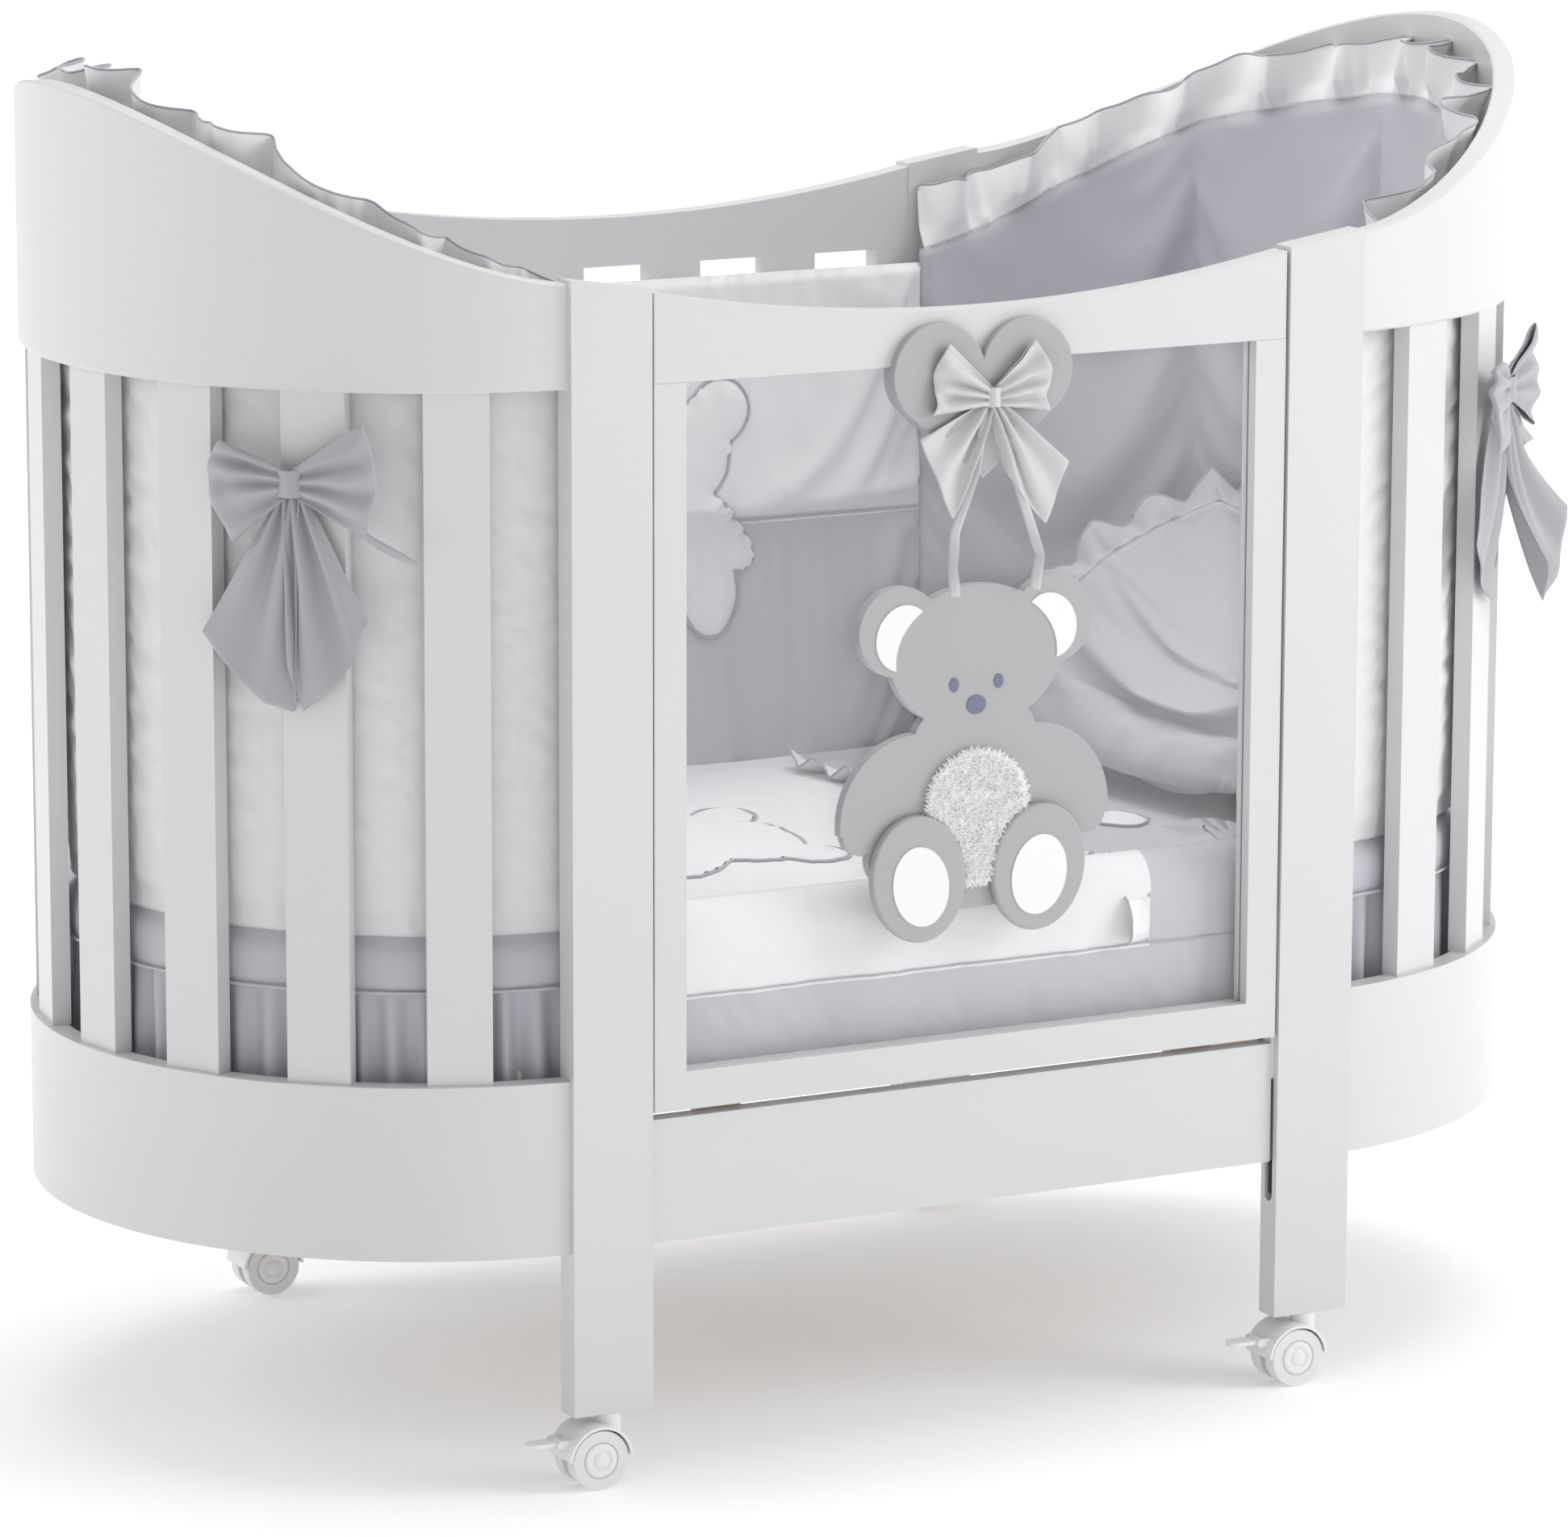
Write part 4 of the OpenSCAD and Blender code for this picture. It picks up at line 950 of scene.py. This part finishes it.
def tufted(o, seed, density, length, mat):
    """Covers a mesh with short tufts of pile, through geometry nodes, and bakes them in."""
    tree = bpy.data.node_groups.new("pile", "GeometryNodeTree")
    tree.interface.new_socket("Geometry", in_out="INPUT", socket_type="NodeSocketGeometry")
    dense = tree.interface.new_socket("Density", in_out="INPUT", socket_type="NodeSocketFloat")
    tall = tree.interface.new_socket("Length", in_out="INPUT", socket_type="NodeSocketFloat")
    tree.interface.new_socket("Geometry", in_out="OUTPUT", socket_type="NodeSocketGeometry")
    add, link = tree.nodes.new, tree.links.new
    source, sink = add("NodeGroupInput"), add("NodeGroupOutput")
    spread = add_node(tree, "GeometryNodeDistributePointsOnFaces", Seed=seed, Mesh=source.outputs["Geometry"],
                      Density=source.outputs["Density"])
    blade = add_node(tree, "GeometryNodeMeshCone", Vertices=4, Side_Segments=2, Radius_Top=0.00015,
                     Radius_Bottom=0.0006, Depth=source.outputs["Length"])
    lean = add("FunctionNodeRandomValue")
    lean.data_type = "FLOAT_VECTOR"
    lean.inputs[0].default_value = (-0.75, -0.75, 0)
    lean.inputs[1].default_value = (0.75, 0.75, 6.28)
    lean.inputs["Seed"].default_value = seed + 1
    turn = add("FunctionNodeRotateEuler")
    turn.space = "LOCAL"
    link(spread.outputs["Rotation"], turn.inputs[0])
    link(lean.outputs[0], turn.inputs[1])
    size = add("FunctionNodeRandomValue")
    size.inputs[2].default_value = 0.6
    size.inputs[3].default_value = 1.25
    size.inputs["Seed"].default_value = seed + 2
    place = add_node(tree, "GeometryNodeInstanceOnPoints", Points=spread.outputs["Points"],
                     Instance=blade.outputs["Mesh"], Rotation=turn.outputs[0], Scale=size.outputs[1])
    real = add_node(tree, "GeometryNodeRealizeInstances", Geometry=place.outputs["Instances"])
    both = add("GeometryNodeJoinGeometry")
    link(source.outputs["Geometry"], both.inputs[0])
    link(real.outputs["Geometry"], both.inputs[0])
    paint = add_node(tree, "GeometryNodeSetMaterial", Material=mat, Geometry=both.outputs["Geometry"])
    link(paint.outputs["Geometry"], sink.inputs["Geometry"])
    made = o.modifiers.new("pile", "NODES")
    made.node_group = tree
    made[dense.identifier] = float(density)
    made[tall.identifier] = float(length)
    bake(o)
    return o


tufted(belly, 3, 620000, 0.0046, plush)


# ---------------------------------------------------------------- bows
# Bows tied from wide cotton ribbon: a white satin one on the heart, with two narrow ribbons hanging
# from its knot, and a grey one on a slat at each end.
satin = cloth_of("white satin", shade(200, 200, 202), 0.05, 0.5, 0.42, slub=0.01)
bow_grey = cloth_of("grey ribbon cotton", shade(168, 169, 173), 0.10, 0.4, 0.75, slub=0.02)


def bow(name, place, across, upward, outward, loops, tails, knot, mat, body, node, depth, seed,
        strips=(), flare=(0, 0, 0)):
    """Outlines are (across, up) in millimetres from the knot."""
    across, upward, outward = (np.array(a, float) for a in (across, upward, outward))
    at = lambda a, b, c: np.array(place) + (across * a + upward * b + outward * c) / 1000
    parts = []
    for number, (top, mid, bottom, big) in enumerate(loops):
        rows = []
        for i in range(33):
            w = i / 32
            s = math.sin(math.pi * w) ** 0.75
            row = []
            for j in range(29):
                t = 2 * j / 28 - 1
                edge_a = mid[0] * (1 - t * t) + (top[0] * (t + 1) / 2 + bottom[0] * (1 - t) / 2) * t * t
                edge_b = mid[1] * (1 - t * t) + (top[1] * (t + 1) / 2 + bottom[1] * (1 - t) / 2) * t * t
                edge_b += (top[1] - bottom[1]) / 2 * t * (1 - t * t) * 0.9
                pinch_b = knot[1] * 0.85 * t
                a = edge_a * s
                b = pinch_b * (1 - s) + edge_b * s
                pleat = math.cos(3.1 * math.pi * t + number + seed)
                pleat *= 10.0 * (1 - s) ** 0.8 * s ** 0.7 + 0.9 * s
                fold = noise.noise(Vector((s * 2.4, t * 1.9, seed + number * 5))) * 7.0 * s
                bulge = big * math.cos(math.pi * w) * (0.25 + 0.75 * math.sin(math.pi * w))
                bulge *= 1 - 0.25 * t * t
                row.append(at(a, b, depth * 0.5 + bulge * 0.5 + pleat + fold + flare[0] * s * s))
            rows.append(row)
        parts.append(woven(name, rows, [mat]))
    for number, outline in enumerate(tails):
        outline = np.array(outline, float)
        run = np.concatenate([[0], np.linalg.norm(np.diff(outline, axis=0), axis=1).cumsum()])
        run /= run[-1]
        rows = []
        for i in range(37):
            s = i / 36
            row = []
            for j in range(33):
                t = j / 32
                end = np.array([np.interp(t, run, outline[:, 0]), np.interp(t, run, outline[:, 1])])
                start = np.array([knot[0] * 0.8 * (2 * t - 1), -knot[1] * 0.3])
                grow = s ** 0.85
                p = start * (1 - grow) + end * grow
                pleat = math.cos(5.0 * math.pi * t + number * 1.7 + seed)
                pleat *= 5.0 * (1 - s) ** 0.6 * min(1, s * 5) + 1.5
                fold = noise.noise(Vector((s * 1.8, t * 2.0, seed + number * 3 + 40))) * 8.0 * s
                row.append(at(p[0], p[1], depth * (0.28 - 0.1 * s) + pleat + fold + 1.5 * number
                              + flare[1 + number] * s * s))
            rows.append(row)
        parts.append(woven(name, rows, [mat]))
    wrap = []
    for i in range(17):
        t = 2 * i / 16 - 1
        ring = []
        for j in range(24):
            a = 2 * math.pi * j / 24
            wide = knot[0] * (1 + 0.16 * t * t + 0.05 * math.cos(3 * a + 5 * t))
            deep = depth * 0.42 * (1 + 0.1 * math.cos(4 * a))
            ring.append(at(wide * math.cos(a), knot[1] * t, depth * 0.5 + deep * math.sin(a)))
        wrap.append(ring)
    parts.append(woven(name, wrap, [mat], closed=True))
    for number, path in enumerate(strips):
        path = np.array(path, float)
        run = np.linspace(0, 1, len(path))
        rows = []
        for i in range(41):
            t = i / 40
            a, b, c, wide, roll = [np.interp(t, run, path[:, k]) for k in range(5)]
            roll = math.radians(roll)
            step = 0.02
            da = np.interp(min(1, t + step), run, path[:, 0]) - np.interp(max(0, t - step), run, path[:, 0])
            db = np.interp(min(1, t + step), run, path[:, 1]) - np.interp(max(0, t - step), run, path[:, 1])
            size = math.hypot(da, db) + 1e-9
            side = np.array([-db / size, da / size])
            rows.append([at(a + side[0] * wide * k * math.cos(roll), b + side[1] * wide * k * math.cos(roll),
                            c + wide * k * math.sin(roll)) for k in (-0.5, -0.17, 0.17, 0.5)])
        parts.append(woven(name, rows, [mat]))
    mesh = joined(name, parts)
    o = put(name, mesh, body)
    thicken(o, 0.0008)
    if node:
        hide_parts(node)
    return o


# loops: (top corner, furthest point, bottom corner, fullness)
bow("heart_bow_satin", (0.008, -0.3535, 0.882), (1, 0, 0), (0, 0, 1), (0, -1, 0),
    [((-41, 46), (-55, 14), (-56, -12), 9), ((38, 45), (52, 12), (50, -14), 9)],
    [[(-68, -31), (-52, -66), (-36, -100), (-20, -70), (-12, -60)],
     [(12, -60), (28, -84), (52, -110), (62, -84), (71, -58)]],
    (6, 8), satin, "drop_side", "heart_bow", 10, 1,
    [[(-6, -8, 2, 6, 20), (-14, -60, 2, 8, 60), (-34, -110, 3, 8, 20), (-36, -140, 3, 9, 70),
      (-33, -164, 2, 9, 10)],
     [(6, -8, 2, 6, 10), (20, -60, 2, 8, 50), (34, -100, 3, 8, 10), (46, -135, 3, 9, 60),
      (42, -164, 2, 9, 15)]])
for side, body_node, seed in ((-1, "bow_foot", 4), (1, "bow_head", 9)):
    theta = math.radians(46.9)
    r = 0.3445
    place = (side * (END_X + r * math.cos(theta)), -r * math.sin(theta), 0.838)
    across = (math.sin(theta), side * math.cos(theta), 0)
    outward = (side * math.cos(theta), -math.sin(theta), 0)
    bow(body_node + "_cotton", place, across, (0, 0, 1), outward,
        [((-60, 32), (-70, 4), (-50, -50), 17), ((60, 50), (71, 2), (62, -40), 17)],
        [[(-78, -124), (-52, -158), (-26, -180), (0, -187), (2, -150)],
         [(-4, -150), (6, -186), (30, -168), (48, -146), (62, -110)]],
        (9, 11), bow_grey, "crib", body_node, 16, seed,
        [[(8, -2, 4, 6, 10), (40, -28, 6, 6, 40), (74, -48, 4, 8, 20), (104, -62, 3, 10, 50)]],
        (0, 0, 0) if side < 0 else (8, 0, 44))


# ---------------------------------------------------------------- studio
# A pale floor with a painted glow, weak under the crib and strong further out where it turns white; a large
# soft light above and a weaker one from the right.
glowing_floor_paint = finish_of("studio floor with painted glow", (0.80, 0.80, 0.81), 0.9, Emission_Color=(1, 1, 1, 1))
glow = glowing_floor_paint.node_tree
spot = add_node(glow, "ShaderNodeTexCoord")
spread = add_node(glow, "ShaderNodeMapping", Scale=(0.36, 0.42, 1), Location=(0, 8.4, 0),
                  Vector=spot.outputs["Object"])
ball = add_node(glow, "ShaderNodeTexGradient", Vector=spread.outputs["Vector"])
ball.gradient_type = "SPHERICAL"
# Painted glow: the floor's emission strength is 0.16 at the crib and rises to 0.70 away from it.
painted_glow_strength = add_node(glow, "ShaderNodeMapRange", To_Min=0.70, To_Max=0.16, Value=ball.outputs["Fac"])
glow.links.new(painted_glow_strength.outputs["Result"], glow.nodes["Principled BSDF"].inputs["Emission Strength"])
bpy.ops.mesh.primitive_plane_add(size=90, location=(0, 20, 0))
floor = bpy.context.object
floor.name = "studio_floor_painted_glow"
floor.data.materials.append(glowing_floor_paint)
room = bpy.data.worlds.new("studio")
bpy.context.scene.world = room
room.use_nodes = True
room.node_tree.nodes["Background"].inputs["Color"].default_value = (1, 1, 1, 1)
room.node_tree.nodes["Background"].inputs["Strength"].default_value = 0.58


def softbox(name, place, target, wide, tall, power):
    light = bpy.data.lights.new(name, "AREA")
    light.shape = "RECTANGLE"
    light.size, light.size_y = wide, tall
    light.energy = power
    o = bpy.data.objects.new(name, light)
    bpy.context.scene.collection.objects.link(o)
    o.location = place
    o.rotation_euler = (Vector(target) - Vector(place)).to_track_quat("-Z", "Y").to_euler()
    return o


softbox("overhead", (0.3, 0.3, 3.4), (0, 0, 0.5), 3.0, 2.4, 52)
softbox("right", (2.4, -2.0, 1.7), (0.2, 0, 0.6), 1.6, 1.6, 38)
softbox("left", (-3.0, 1.5, 2.3), (0.3, 0, 0.8), 1.8, 1.8, 26)
bpy.context.scene.view_settings.view_transform = "Standard"

turned, raised, rolled = math.radians(-27.589), math.radians(11.409), math.radians(0.149)
back = Vector((math.sin(turned) * math.cos(raised), -math.cos(turned) * math.cos(raised), math.sin(raised)))
right = Vector((math.cos(turned), math.sin(turned), 0))
upward = back.cross(right)
axis_x = right * math.cos(rolled) + upward * math.sin(rolled)
axis_y = upward * math.cos(rolled) - right * math.sin(rolled)
lens = bpy.data.cameras.new("camera")
lens.sensor_width = 36
lens.lens = 166.37
lens.clip_end = 200
camera = bpy.data.objects.new("camera", lens)
bpy.context.scene.collection.objects.link(camera)
camera.matrix_world = Matrix((
    (axis_x.x, axis_y.x, back.x, -2.8610),
    (axis_x.y, axis_y.y, back.y, -5.4805),
    (axis_x.z, axis_y.z, back.z, 1.7557),
    (0, 0, 0, 1)))
bpy.context.scene.camera = camera
